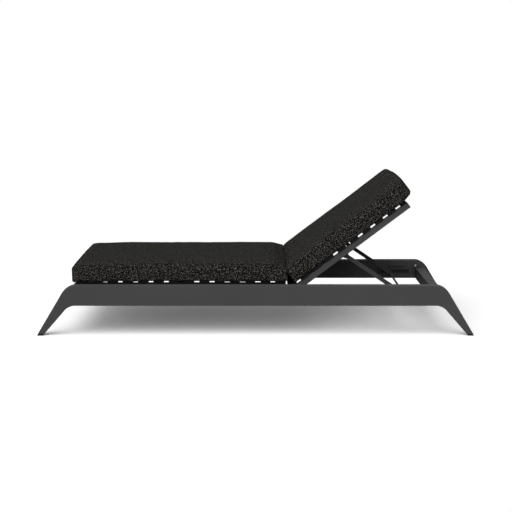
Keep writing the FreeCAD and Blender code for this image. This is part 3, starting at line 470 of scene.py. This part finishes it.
def copy_of(piece, name, move=(0, 0, 0), half_turn=False):
    """Another of the same piece, with its own mesh, moved or turned half round the upright axis."""
    take(piece)
    bpy.ops.object.duplicate(linked=False)
    made = bpy.context.active_object
    made.location = move
    if half_turn:
        made.rotation_euler = (0, 0, math.pi)
    return settle(made, name)


def finish(piece, body, slot, coat, *stands_for):
    """Coat a piece and hand it over to its body, if it is given one. A soft piece that bends
    between two has none here.
    """
    if slot != "cushion_fabric":
        even_out(piece)
    piece.data.materials.clear()
    piece.data.materials.append(coat)
    if body:
        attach(piece, body)
    if stands_for:
        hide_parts(*stands_for)
    return piece


print("bench ready")

# %% [markdown]
# ## Side rails
# Each side is one rectangular extrusion with softly rounded long edges, and the legs are welded to its
# ends and ground flush, so the joint doesn't show. The rail is therefore a bar whose ends stay square,
# and the legs start with exactly the same rounding.

# %% Extrude the side rails
EDGE = 0.0025
for side in ("left", "right"):
    low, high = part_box(f"side_rail_{side}")
    rail = bar(f"rail_{side}", low, high, 0, EDGE)
    finish(rail, "frame", "frame_coating", frame_coat, f"side_rail_{side}")
    print(rail.name, [round(c, 4) for c in low], [round(c, 4) for c in high])

# %% [markdown]
# ## Legs
# A leg leaves the rail level, turns down round a wide shoulder, and narrows to its foot. It is a block at
# the rail's end whose slanted face is pushed out down to the foot. The two corner edges are then bevelled
# with many steps, which makes true arcs. A half turn of the head-end leg gives the one at the foot end,
# with no mirroring. Both edges of a leg are straight: they start on the floor at the foot's tip and its
# heel, and each runs back by its own length on the way up to the rail's top.

# %% Shape the legs
SHOULDER, CROTCH = 0.070, 0.060
FOOT_TIP, FOOT_LENGTH = 1.033, 0.029
OUTER_RUN, INNER_RUN = 0.145, 0.2095
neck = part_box("side_rail_left")[1][0]
low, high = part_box("head_leg_left")
rail_low, rail_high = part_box("side_rail_left")
top, under, sole = rail_high[2], rail_low[2], low[2]


def outer(height):
    return FOOT_TIP - OUTER_RUN * height / top


def inner(height):
    return FOOT_TIP - FOOT_LENGTH - INNER_RUN * height / top


leg = block("leg_head_left", (neck, low[1], under), (outer(top), high[1], top))
pick(leg, "verts", lambda v: v.co.x > neck + 0.01 and v.co.z < top - 0.01)
bpy.ops.transform.translate(value=(inner(under) - outer(top), 0, 0))
pick(leg, "faces", lambda face: face.normal.x > 0.6)
bpy.ops.mesh.extrude_region_move(TRANSFORM_OT_translate={"value": (0, 0, sole - under)})
shape = bmesh.from_edit_mesh(leg.data)
for vert in (v for v in shape.verts if v.select):
    vert.co.x, vert.co.z = (outer(sole) if vert.co.z > (sole + under) / 2 else inner(sole)), sole
bmesh.update_edit_mesh(leg.data)
for x, z, radius, turn in ((outer(top), top, SHOULDER, math.atan2(top, OUTER_RUN)),
                           (inner(under), under, CROTCH, math.atan2(top, INNER_RUN))):
    pick(leg, "edges", lambda edge: all(math.hypot(v.co.x - x, v.co.z - z) < 10 * HAIR for v in edge.verts))
    bpy.ops.mesh.bevel(offset=radius * math.tan(turn / 2), segments=12, profile=0.5, affect="EDGES")
pick(leg, "faces", facing(0, -1))
bpy.ops.mesh.delete(type="FACE")
clear_bench()
close_ends(round_edges(leg, EDGE), 0, [neck])
across = -(low[1] + high[1])
legs = {"head_left": leg, "head_right": copy_of(leg, "leg_head_right", (0, across, 0)),
        "foot_right": copy_of(leg, "leg_foot_right", half_turn=True)}
legs["foot_left"] = copy_of(legs["foot_right"], "leg_foot_left", (0, -across, 0))
for corner, made in legs.items():
    end, side = corner.split("_")
    finish(made, "frame", "frame_coating", frame_coat, f"{end}_leg_{side}")
print("legs", {corner: len(made.data.polygons) for corner, made in legs.items()})

# %% [markdown]
# ## Cross bars and bearers
# Four tubes tie the rails together and two bearers inside them carry the seat slats. All are plain
# extrusions that end against the rails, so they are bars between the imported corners, with the small
# corner radius that drawn tube has. A bearer's outer wall runs on above its top as a thin lip that hides
# the slats' ends: the block's top is cut once along its length and the outer strip is pushed up. The
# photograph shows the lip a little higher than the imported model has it.

# %% Cut the cross bars and bearers
TUBE_CORNER, BEARER_CORNER = 0.003, 0.0008
PACKED_LIP, LIP_HEIGHT, LIP_THICKNESS = 0.0064, 0.0088, 0.0022
for name in ("head_cross_bar", "foot_cross_bar", "mid_cross_bar", "hinge_cross_bar"):
    made = bar(name.replace("_cross", ""), *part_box(name), 1, TUBE_CORNER)
    finish(made, "frame", "frame_coating", frame_coat, name)
for side, out in (("left", -1), ("right", 1)):
    name = f"seat_bearer_{side}"
    low, high = (Vector(corner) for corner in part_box(name))
    seat_level = high.z - PACKED_LIP
    cut = (high.y if out > 0 else low.y) - out * LIP_THICKNESS

    def raise_lip(piece):
        pick(piece, "faces", lambda face: True)
        bpy.ops.mesh.bisect(plane_co=(0, cut, 0), plane_no=(0, 1, 0))
        pick(piece, "faces",
             lambda face: face.normal.z > 0.9 and (face.calc_center_median().y - cut) * out > 0)
        bpy.ops.mesh.extrude_region_move(TRANSFORM_OT_translate={"value": (0, 0, LIP_HEIGHT)})

    made = bar(f"bearer_{side}", low, (high.x, high.y, seat_level), 0, BEARER_CORNER, 2, raise_lip)
    # The bearers take the slats' near-black coat: painted shade for the dark gap under the cushion.
    finish(made, "frame", "slat_coating", shade_painted_slat_coat, name)
print("cross bars and bearers cut")

# %% [markdown]
# ## Slats
# Fourteen slats lie across the seat and nine on the backrest, all of one section, with a black plug
# pressed into each open end. One slat is made and copied. The backrest's pieces are made with the
# backrest lying flat and are then turned up about the hinge.

# %% Press in the slats and their plugs
SEAT_SLATS, BACK_SLATS = 14, 9
SLAT_CORNER = 0.0024
PLUG_RIM, PLUG_INSET, PLUG_DISH = 0.002, 0.0006, 0.0005
hinge = Vector(joints["backrest_recline"]["pos_m"])
rest_angle = -joints["backrest_recline"]["range_deg"][0]
LEAN = (Matrix.Translation(hinge) @ Matrix.Rotation(-math.radians(rest_angle), 4, "Y")
        @ Matrix.Translation(-hinge))


def flat_box(node):
    """A backrest node's corners with the backrest lying flat."""
    back = LEAN.inverted()
    points = np.array([back @ v.co for v in nodes[node].data.vertices])
    return Vector(points.min(0)), Vector(points.max(0))


def lean(piece):
    """Turn a piece that was made flat up to where the backrest stands."""
    piece.matrix_world = LEAN
    return settle(piece)


def join(name, pieces):
    clear_bench()
    for piece in pieces:
        piece.select_set(True)
    bpy.context.view_layer.objects.active = pieces[0]
    bpy.ops.object.join()
    return settle(pieces[0], name)


def plug_pair(name, low, high):
    """The two end plugs of a slat, with a shallow dish in their outer faces."""
    made = []
    for end, out in ((low[1], -1), (high[1], 1)):
        near, far = sorted((end, end + out * PLUG_RIM))
        plug = block(f"{name}_{out}", (low[0] + PLUG_INSET, near, low[2] + PLUG_INSET),
                     (high[0] - PLUG_INSET, far, high[2] - PLUG_INSET))
        pick(plug, "faces", facing(1, out))
        bpy.ops.mesh.inset(thickness=0.0022)
        bpy.ops.transform.translate(value=(0, out * -PLUG_DISH, 0))
        clear_bench()
        made.append(round_edges(plug, 0.0006, 2, 25))
    return made


first_low, first_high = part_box("seat_slat_01")
slat = bar("seat_slat", first_low, first_high, 1, SLAT_CORNER)
plugs = []
for number in range(1, SEAT_SLATS + 1):
    name = f"seat_slat_{number:02d}"
    made = copy_of(slat, f"slat_{number:02d}", (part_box(name)[0][0] - first_low[0], 0, 0))
    finish(made, "frame", "slat_coating", shade_painted_slat_coat, name)
    plugs += plug_pair(name, *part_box(name))
finish(join("slat_plugs", plugs), "frame", "black_plastic", black_plastic, "seat_slat_plugs")

plugs = []
for number in range(1, BACK_SLATS + 1):
    name = f"back_slat_{number:02d}"
    low, high = flat_box(name)
    made = lean(copy_of(slat, f"rest_slat_{number:02d}", (low[0] - first_low[0], 0, low[2] - first_low[2])))
    finish(made, "backrest", "slat_coating", shade_painted_slat_coat, name)
    plugs += plug_pair(name, low, high)
made = lean(bar("rest_slat_head", *flat_box("back_head_slat"), 1, SLAT_CORNER))
finish(made, "backrest", "slat_coating", shade_painted_slat_coat, "back_head_slat")
finish(lean(join("rest_slat_plugs", plugs)), "backrest", "black_plastic", black_plastic, "back_slat_plugs")
bpy.data.objects.remove(slat)
print("slats", SEAT_SLATS, "on the seat,", BACK_SLATS, "and a head slat on the backrest, leaning", rest_angle)

# %% [markdown]
# ## Backrest bars
# A bar under each side of the backrest carries its slats and turns on the hinge. It is a small tube with
# a cap on each end. The cap is a block of the tube's outline whose outer face steps in, as a pressed-in
# cap has.

# %% Fit the backrest bars and their caps
BAR_CORNER = 0.0025
CAP_RIM, CAP_INSET, CAP_STEP = 0.003, 0.0003, 0.0008
caps = []
for side in ("left", "right"):
    low, high = flat_box(f"back_bar_{side}")
    made = lean(bar(f"rest_bar_{side}", low, high, 0, BAR_CORNER))
    finish(made, "backrest", "frame_coating", frame_coat, f"back_bar_{side}")
    for end, out in ((low[0], -1), (high[0], 1)):
        near, far = sorted((end, end + out * CAP_RIM))
        cap = block(f"cap_{side}_{out}", (near, low[1] + CAP_INSET, low[2] + CAP_INSET),
                    (far, high[1] - CAP_INSET, high[2] - CAP_INSET))
        pick(cap, "faces", facing(0, out))
        bpy.ops.mesh.inset(thickness=0.004)
        bpy.ops.transform.translate(value=(out * -CAP_STEP, 0, 0))
        clear_bench()
        caps.append(round_edges(cap, 0.0008, 2, 25))
finish(lean(join("rest_bar_caps", caps)), "backrest", "black_plastic", black_plastic, "back_bar_caps")
print("backrest bars and caps fitted")

# %% [markdown]
# ## Turned pieces
# The prop's rod, its caps and every screw are turned on the Y axis. A screw's head is a short cylinder
# whose edge is bevelled; its face is inset, the inset ring is drawn to a hexagon, and that is pushed in
# for the key. One screw is modelled with its head's underside at the origin and copied to each place.
# A place says how far along, how far out from the middle and how high a head's underside lies, and
# holds for both sides.

# %% Turn the rod, the caps and the screws
RACK_SCREWS = [(0.67475, 0.305, 0.1615), (0.796, 0.305, 0.1615)]
CORNER_SCREWS = [(0.8485, 0.322, 0.2125)]
PIN_OUT, BOLT_OUT = 0.2917, 0.2787
ROD_CAP = 0.003


def turned(name, centre, radius, length, rounding, sides=48):
    clear_bench()
    bpy.ops.mesh.primitive_cylinder_add(vertices=sides, radius=radius, depth=length, location=centre,
                                        rotation=(math.pi / 2, 0, 0))
    piece = settle(bpy.context.active_object, name)
    return round_edges(piece, rounding, 3)


def socket_screw(name, head, height, shank, length, sides=24):
    """A screw whose head faces +Y: the head's radius and height, the shank's radius and length."""
    clear_bench()
    bpy.ops.mesh.primitive_cylinder_add(vertices=sides, radius=head, depth=height,
                                        location=(0, height / 2, 0), rotation=(math.pi / 2, 0, 0))
    piece = settle(bpy.context.active_object, name)
    pick(piece, "faces", facing(1, 1))
    bpy.ops.mesh.inset(thickness=head * 0.5)
    shape = bmesh.from_edit_mesh(piece.data)
    for vert in (v for v in shape.verts if v.select):
        angle = math.atan2(vert.co.z, vert.co.x) % (math.pi / 3) - math.pi / 6
        reach = head * 0.46 / math.cos(angle)
        spoke = Vector((vert.co.x, 0, vert.co.z)).normalized() * reach
        vert.co.x, vert.co.z = spoke.x, spoke.z
    bmesh.update_edit_mesh(piece.data)
    bpy.ops.mesh.extrude_region_move(TRANSFORM_OT_translate={"value": (0, -height * 0.6, 0)})
    pick(piece, "faces", facing(1, -1))
    shape = bmesh.from_edit_mesh(piece.data)
    for face in shape.faces:
        if face.select and face.calc_center_median().y > HAIR:
            face.select_set(False)
    bpy.ops.mesh.inset(thickness=head - shank)
    bpy.ops.mesh.extrude_region_move(TRANSFORM_OT_translate={"value": (0, -length, 0)})
    clear_bench()
    return round_edges(piece, 0.0006, 2, 50)


def put_screws(name, screw, places):
    """Copies of a screw at places; those on the right side face the other way."""
    made = []
    for x, y, z in places:
        for side, half_turn in ((-1, False), (1, True)):
            one = copy_of(screw, f"{name}_{x:.3f}_{side}", half_turn=half_turn)
            one.location = (x, side * y, z)
            made.append(settle(one))
    bpy.data.objects.remove(screw)
    return join(name, made)


prop_pin = Vector(joints["prop_swing"]["pos_m"])
low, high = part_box("prop_rod")
rod_x, rod_z = (low[0] + high[0]) / 2, (low[2] + high[2]) / 2
rod = turned("prop_cross_rod", (rod_x, 0, rod_z), (high[0] - low[0]) / 2, high[1] - low[1], 0.0008)
finish(rod, "prop", "bracket_coating", bracket_coat, "prop_rod")
low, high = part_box("prop_rod_caps")
rod_caps = [turned(f"rod_cap_{side}", (rod_x, side * (high[1] - ROD_CAP / 2), rod_z),
                   (high[0] - low[0]) / 2, ROD_CAP, 0.0012) for side in (-1, 1)]
finish(join("rod_caps", rod_caps), "prop", "black_plastic", black_plastic, "prop_rod_caps")

for name, sizes, places, body, slot, coat, node in (
        ("rack_screw_set", (0.0055, 0.0032, 0.003, 0.02), RACK_SCREWS,
         "frame", "bracket_coating", bracket_coat, "frame_screws"),
        ("corner_screw_set", (0.0055, 0.0032, 0.003, 0.006), CORNER_SCREWS,
         "frame", "stainless", steel.material, "frame_screws"),
        ("hinge_pin_pair", (0.009, 0.004, 0.005, 0.041), [(hinge.x, PIN_OUT, hinge.z)],
         "frame", "stainless", steel.material, "hinge_pins"),
        ("prop_bolt_pair", (0.0065, 0.0048, 0.004, 0.018), [(prop_pin.x, BOLT_OUT, prop_pin.z)],
         "backrest", "bracket_coating", bracket_coat, "prop_bolts")):
    finish(put_screws(name, socket_screw("screw", *sizes), places), body, slot, coat, node)
print("rod at", round(rod_x, 4), round(rod_z, 4))

# %% [markdown]
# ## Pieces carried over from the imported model
# Racks, prop arms, lugs, brackets, feet, bushes, nuts and spacers have their real shape in the packed
# model already. Their meshes stay as they are, and three live modifiers give them what a made piece has:
# Weld closes the loose triangles, a planar Decimate clears the flat faces, and a small Bevel breaks
# every edge so that it catches the light.

# %% Break the edges of the carried-over pieces
def break_edges(name, edge, coat):
    piece = nodes[name]
    weld = piece.modifiers.new("weld", "WELD")
    weld.merge_threshold = HAIR
    clear = piece.modifiers.new("flat faces", "DECIMATE")
    clear.decimate_type, clear.angle_limit = "DISSOLVE", math.radians(0.5)
    edges = piece.modifiers.new("broken edges", "BEVEL")
    edges.width, edges.segments, edges.limit_method, edges.angle_limit = edge, 2, "ANGLE", math.radians(30)
    edges.harden_normals = True
    for face in piece.data.polygons:
        face.use_smooth = True
    piece.data.materials.clear()
    piece.data.materials.append(coat)


carried = {
    "rack_left": (0.0005, bracket_coat), "rack_right": (0.0005, bracket_coat),
    "prop_arm_left": (0.0008, bracket_coat), "prop_arm_right": (0.0008, bracket_coat),
    "prop_lugs": (0.0006, bracket_coat), "corner_brackets": (0.0005, bracket_coat),
    "leg_glides": (0.0005, black_plastic), "rest_pads": (0.0008, rubber),
    "hinge_bushes": (0.0003, nylon), "frame_spacers": (0.0004, nylon),
    "hinge_nuts": (0.0004, steel.material), "prop_nuts": (0.0004, bracket_coat),
}
for name, (edge, coat) in carried.items():
    break_edges(name, edge, coat)
print("carried over", len(carried))

# %% [markdown]
# ## Cushion blanks
# Each cushion is a foam block in a boxed cover: a top panel, a bottom panel and a strip round the side,
# sewn together along the edges, with the opening for the foam closed along the middle of the outer end.
# The blank is a cube cut into a grid, whose rows crowd together at the edges where the cloth turns and at
# the closing. While it is still a plain box, every face gets its map in metres of cloth, and the sewn
# points are noted, because later the form has no sharp edge to find them by. The panels' maps are set
# apart, so that the weave doesn't run on round the edges.

# %% Cut the cushion blanks
RIM_ROWS = [0, 0.003, 0.0065, 0.0115, 0.019, 0.03]
EVEN_FROM = 0.042
STRIP_ROWS, CLOSING_ROWS = [0, 0.003, 0.0075, 0.015, 0.027], [0.009, 0.003]
PANELS_APART = (1.7, 0.9)
CLOSING_MARGIN = 0.06


def read_points(piece, what="co"):
    values = np.zeros(len(piece.data.vertices) * 3)
    piece.data.vertices.foreach_get(what, values)
    return values.reshape(-1, 3)


def write_points(piece, points):
    piece.data.vertices.foreach_set("co", points.ravel())
    piece.data.update()


def crowded(length, pitch):
    """Places of the rows from 0 to length, close together at both ends."""
    middle = np.linspace(EVEN_FROM, length - EVEN_FROM, max(2, round((length - 2 * EVEN_FROM) / pitch)))
    return np.array([*RIM_ROWS, *middle, *[length - e for e in reversed(RIM_ROWS)]])


def upright_rows(height):
    """Places of the rows up the strip, close together at its edges and at the closing half way up."""
    lower = [*STRIP_ROWS, *[height / 2 - row for row in CLOSING_ROWS]]
    return np.array([*lower, height / 2, *[height - e for e in reversed(lower)]])


def cushion_blank(name, size, closing, pitch=0.0135):
    """The gridded box, its points, and which of them are sewn and which lie on the closing."""
    clear_bench()
    bpy.ops.mesh.primitive_cube_add(size=1)
    piece = settle(bpy.context.active_object, name)
    rows = [crowded(size[0], pitch), crowded(size[1], pitch), upright_rows(size[2])]
    for axis in (0, 1, 2):
        pick(piece, "edges", lambda edge: abs(edge.verts[0].co[axis] - edge.verts[1].co[axis]) > 0.9)
        bpy.ops.mesh.subdivide(number_cuts=len(rows[axis]) - 2)
    clear_bench()
    points = read_points(piece)
    for axis in (0, 1, 2):
        steps = np.linspace(-0.5, 0.5, len(rows[axis]))
        points[:, axis] = np.interp(points[:, axis], steps, rows[axis] - size[axis] / 2)
    write_points(piece, points)
    cloth_map = piece.data.uv_layers.new(name="weave")
    flat = np.zeros((len(piece.data.loops), 2))
    for face in piece.data.polygons:
        away = max(range(3), key=lambda axis: abs(face.normal[axis]))
        u, v = ((1, 2), (0, 2), (0, 1))[away]
        for loop in face.loop_indices:
            at = points[piece.data.loops[loop].vertex_index]
            flat[loop] = at[u] + away * PANELS_APART[0], at[v] + away * PANELS_APART[1]
    cloth_map.data.foreach_set("uv", flat.ravel())
    half = np.array(size) / 2
    from_rim = np.minimum(half[0] - abs(points[:, 0]), half[1] - abs(points[:, 1]))
    sewn = (from_rim < HAIR) & (half[2] - abs(points[:, 2]) < HAIR)
    closed = ((abs(points[:, 0] - closing * half[0]) < HAIR) & (abs(points[:, 2]) < HAIR)
              & (half[1] - abs(points[:, 1]) > CLOSING_MARGIN))
    print(name, "points", len(points), "sewn", int(sewn.sum()), "closing", int(closed.sum()))
    return piece, points, sewn, closed


# %% [markdown]
# ## Filling the covers
# The foam is a block with rounded edges, so the blank is first drawn in to that form: its corners seen
# from above, then its long edges, which are rounder on top than below. Cloth pressure then fills the
# cover. It swells the strip and crowns the panels between the sewn edges, which are pinned, and no point
# may move further than a few millimetres, as foam keeps its form.

# %% Fill the covers
MOMENTS = 20


def squeeze(u, w, radius):
    """Moves the square corner of side radius onto a round one."""
    return u * np.sqrt(1 - w * w / (2 * radius * radius)), w * np.sqrt(1 - u * u / (2 * radius * radius))


def foam_form(points, size, corners, edges):
    """The rounded block inside a box: corners are the radii seen from above at the low and the high
    end of X, edges those of the bottom's and the top's edges."""
    half = np.array(size) / 2
    where, sign = abs(points), np.sign(points)
    corner = np.where(points[:, 0] > 0, corners[1], corners[0])
    edge = np.where(points[:, 2] > 0, edges[1], edges[0])
    depth = np.maximum(edge - (half[:2] - where[:, :2]).min(1), 0)
    height = np.maximum(where[:, 2] - (half[2] - edge), 0)
    new_depth, new_height = squeeze(depth, height, edge)
    corner_at = half[:2] - corner[:, None]
    spoke = np.maximum(where[:, :2] - corner_at, 0)
    both = (spoke > 0).all(1)
    bent = spoke.copy()
    bent[both, 0], bent[both, 1] = squeeze(spoke[both, 0], spoke[both, 1], corner[both])
    plan = np.minimum(where[:, :2], corner_at) + bent
    straight = np.eye(2)[(half[:2] - where[:, :2]).argmin(1)]
    outward = spoke / np.maximum(np.linalg.norm(spoke, axis=1), 1e-9)[:, None]
    plan = plan - np.where(both[:, None], outward, straight) * (depth - new_depth)[:, None]
    return np.column_stack([plan * sign[:, :2], (where[:, 2] - height + new_height) * sign[:, 2]])


def fill_cover(piece, points, sewn, cap, pressure):
    """Blow the cover up with cloth pressure. The sewn points hold, and the cap limits every other."""
    write_points(piece, points)
    take(piece)
    edges = piece.vertex_groups.new(name="sewn")
    edges.add(np.flatnonzero(sewn).tolist(), 1.0, "REPLACE")
    cover = piece.modifiers.new("cover", "CLOTH")
    cover.settings.vertex_group_mass = "sewn"
    cover.settings.quality = 5
    cover.settings.mass = 0.3
    cover.settings.tension_stiffness = cover.settings.compression_stiffness = 15
    cover.settings.bending_stiffness = 1.0
    cover.settings.use_pressure = True
    cover.settings.uniform_pressure_force = pressure
    cover.settings.effector_weights.gravity = 0
    cover.collision_settings.use_collision = False
    scene = bpy.context.scene
    for moment in range(1, MOMENTS + 1):
        scene.frame_set(moment)
    move = read_points(piece.evaluated_get(bpy.context.evaluated_depsgraph_get())) - points
    piece.modifiers.remove(cover)
    piece.vertex_groups.remove(edges)
    scene.frame_set(1)
    far = np.linalg.norm(move, axis=1)
    on_top, on_side = far[points[:, 2] > points[:, 2].max() - 0.001], far[abs(points[:, 2]) < 0.004]
    print(piece.name, "blown out: top", [round(v * 1000, 1) for v in np.percentile(on_top, (10, 50, 90))],
          "side", [round(v * 1000, 1) for v in np.percentile(on_side, (10, 50, 90))], "mm, cap", cap * 1000)
    return points + move * (np.tanh(far / cap) * cap / np.maximum(far, 1e-9))[:, None]


# %% [markdown]
# ## Sewing
# A filled cover is fitted to its box and then bent to the outline that the photograph shows, by a
# function of its own. The cloth gets a soft unevenness, fine wrinkles, and small puckers beside the
# seams, the seams are pressed in, one subdivision smooths it, and the result is brought back to its
# size. Its points carry the two values that the weave reads: the seam, for painted shade in the crease,
# and the plain value of the top panel, for painted sheen, which grows from the rim towards the middle.

# %% Set out the sewing
SIDE_BULGE = 0.003
SEAM_DEPTH = 0.003
UNEVEN, WRINKLE, PUCKER = (6, 0.0018), (20, 0.0007), (55, 0.0014)
PUCKER_REACH = 0.02
RIM_FLECK, SHEEN_BY = 0.6, 0.14


def ease(distance, run):
    """1 at the end, 0 after the run, smooth between."""
    share = np.clip(1 - distance / run, 0, 1)
    return share * share * (3 - 2 * share)


def fitted(points, low, high):
    """The points scaled so that they just fill the box from low to high."""
    least, span = points.min(0), points.max(0) - points.min(0)
    return (points - least) / span * (np.array(high) - np.array(low)) + np.array(low)


def make_cushion(name, low, high, shaped, corners, edges, crown, closing, seed, cap=0.006, pressure=0.6):
    """A finished cushion that fills the box from low to high. The crown is what the filling adds to its
    height, and the closing is the sign of the end of X where the cover is closed."""
    size = [high[0] - low[0] - 2 * SIDE_BULGE, high[1] - low[1] - 2 * SIDE_BULGE, high[2] - low[2] - crown]
    piece, box, sewn, closed = cushion_blank(name, size, closing)
    form = foam_form(box, size, corners, edges)
    points = fill_cover(piece, form, sewn, cap, pressure)
    half = np.array(size) / 2
    resting = box[:, 2] < -half[2] + HAIR
    on_top = box[:, 2] > half[2] - HAIR
    points[resting, 2] = form[resting, 2]
    points = shaped(fitted(points, low, high))
    goal_low, goal_high = points.min(0), points.max(0)
    write_points(piece, points)
    normals = read_points(piece, "normal")
    from_rim = (half[:2] - abs(box[:, :2])).min(1)
    from_seam = np.maximum(from_rim, half[2] - abs(box[:, 2]))
    shifts = [Vector(row) * seed for row in np.eye(3)]
    lift = np.zeros(len(points))
    for k, place in enumerate(box):
        broad, fine, pucker = (noise.noise(Vector(place) * waves + shift) * height
                               for (waves, height), shift in zip((UNEVEN, WRINKLE, PUCKER), shifts))
        lift[k] = broad + fine + pucker * math.exp(-from_seam[k] / PUCKER_REACH)
    lift[resting] = np.minimum(lift[resting], 0) * 0.2
    lift[sewn | closed] -= SEAM_DEPTH
    write_points(piece, points + normals * lift[:, None])
    # The seam value paints shade into the seams' creases.
    sewn_value = piece.data.attributes.new("seam", "FLOAT", "POINT")
    sewn_value.data.foreach_set("value", (sewn | closed).astype(np.float32))
    # The plain value is painted sheen on the top panel, weaker near the rim.
    sheen_value = piece.data.attributes.new("plain", "FLOAT", "POINT")
    painted_sheen = on_top * (1 - RIM_FLECK * ease(from_rim, SHEEN_BY))
    sheen_value.data.foreach_set("value", painted_sheen.astype(np.float32))
    take(piece)
    bpy.ops.object.shade_smooth()
    smooth = piece.modifiers.new("smooth", "SUBSURF")
    smooth.levels = smooth.render_levels = 1
    bpy.ops.object.modifier_apply(modifier=smooth.name)
    write_points(piece, fitted(read_points(piece), goal_low, goal_high))
    return piece


print("sewing ready")

# %% [markdown]
# ## Seat cushion
# It lies on the slats and reaches a little past its packed ends. The photograph gives its outline: the
# top is nearly flat, eases down to the foot end, where the near corner hangs, and rolls down into the
# fold at the other end. That end lies along the other cushion's face, whose slope is known from the
# backrest's angle, or stops where the seat ends, so that no light comes through the fold. Along both
# sides the cloth hangs over the slats' ends, most at four places where the photograph's bright gaps
# between the slats are lower.

# %% Lay the seat cushion
PAST_FOOT, PAST_FOLD = 0.006, 0.005
FOOT_DROP, FOOT_ROLL, FOLD_ROLL = (0.0065, 0.22), (0.005, 0.05), (0.0163, 0.075)
CORNER_DROP, CORNER_ALONG, CORNER_ACROSS = 0.010, 0.10, 0.16
FOOT_DROOP = (0.008, 0.035)
WAIST, WAIST_RUN = 0.004, 0.5
HANG, EXTRA_HANG, EXTRA_WIDTH = 0.0013, 0.0042, 0.024
EXTRA_HANG_AT = (-0.716, -0.571, -0.132, -0.061)
HANG_INSET, HANG_RUN = 0.007, 0.008
BACK_FACE = -0.001
SEAT_END = 0.1465
slope = math.tan(math.radians(rest_angle))
packed_low, packed_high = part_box("seat_cushion")
seat_low = Vector((packed_low[0] - PAST_FOOT, *packed_low[1:]))
seat_high = Vector((packed_high[0] + PAST_FOLD, *packed_high[1:]))


def seat_shape(points):
    x, y, z = points.T.copy()
    rise = np.clip((z - seat_low[2]) / (seat_high[2] - seat_low[2]), 0, 1)
    foot, fold = x - seat_low[0], seat_high[0] - x
    y -= np.sign(y) * WAIST * ease(abs(foot - WAIST_RUN), WAIST_RUN)
    z -= rise * sum(depth * ease(end, run) for end, (depth, run) in
                    ((foot, FOOT_DROP), (foot, FOOT_ROLL), (fold, FOLD_ROLL)))
    z -= rise * CORNER_DROP * ease(foot, CORNER_ALONG) * ease(y - seat_low[1], CORNER_ACROSS)
    z -= (1 - rise) * FOOT_DROOP[0] * ease(foot, FOOT_DROOP[1])
    hang = HANG + EXTRA_HANG * sum(np.exp(-((x - at) / EXTRA_WIDTH) ** 2) for at in EXTRA_HANG_AT)
    z -= (1 - rise) * hang * ease(seat_high[1] - abs(y) - HANG_INSET, HANG_RUN)
    back_face = hinge.x + BACK_FACE / math.cos(math.radians(rest_angle)) - (z - hinge.z) * slope
    x = np.minimum(x, np.maximum(back_face, SEAT_END) - 0.0005)
    return np.column_stack([x, y, z])


seat = make_cushion("cushion_seat", seat_low, seat_high, seat_shape, corners=(0.022, 0.0025),
                    edges=(0.009, 0.014), crown=0.0055, closing=-1, seed=0.0)
finish(seat, "frame", "cushion_fabric", fabric, "seat_cushion")
print("seat cushion", len(seat.data.polygons), "faces")

# %% [markdown]
# ## Back cushion
# It is made lying flat and leaned back with the backrest. It starts in a nearly plain face, so that the
# two cushions touch at the top of the fold and open downward, and its head end bows outward and is drawn
# up from the slats. It is handed to no body here.

# %% Lean the back cushion
PAST_HEAD = 0.005
BACK_WAIST, BACK_WAIST_RUN = 0.003, 0.34
FACE_TURN, FACE_TURN_RUN, FACE_TOP, FACE_RAMP = 0.003, 0.03, 0.030, 0.026
HEAD_BOW, HEAD_BOW_RUN = 0.009, 0.12
FOOT_EASE, HEAD_EASE, EASE_RUN = 0.005, 0.004, 0.05
HEAD_LIFT, HEAD_LIFT_RUN = 0.012, 0.07
BACK_HANG = 0.0025
packed_low, packed_high = flat_box("back_cushion")
back_low = Vector((hinge.x + BACK_FACE, packed_low.y, packed_low.z))
back_high = Vector((packed_high.x + PAST_HEAD, packed_high.y, packed_high.z))


def back_shape(points):
    x, y, z = points.T.copy()
    rise = np.clip((z - back_low[2]) / (back_high[2] - back_low[2]), 0, 1)
    foot, head = x - back_low[0], back_high[0] - x
    y -= np.sign(y) * BACK_WAIST * ease(abs(foot - BACK_WAIST_RUN), BACK_WAIST_RUN)
    near_top = np.clip((z - back_high[2] + FACE_TOP) / FACE_RAMP, 0, 1)
    x += FACE_TURN * near_top ** 2 * ease(foot, FACE_TURN_RUN)
    x += HEAD_BOW * (1 - (y / back_high[1]) ** 2) * ease(head, HEAD_BOW_RUN)
    z -= rise * (FOOT_EASE * ease(foot, EASE_RUN) + HEAD_EASE * ease(head, EASE_RUN))
    z += (1 - rise) * HEAD_LIFT * ease(head, HEAD_LIFT_RUN)
    z -= (1 - rise) * BACK_HANG * ease(back_high[1] - abs(y) - HANG_INSET, HANG_RUN)
    return np.column_stack([x, y, z])


back = make_cushion("cushion_back", back_low, back_high, back_shape, corners=(0.0025, 0.024),
                    edges=(0.009, 0.015), crown=0.003, closing=1, seed=5.0)
lean(back)
finish(back, None, "cushion_fabric", fabric, "back_cushion")


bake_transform(back)
print("back cushion", len(back.data.polygons), "faces")
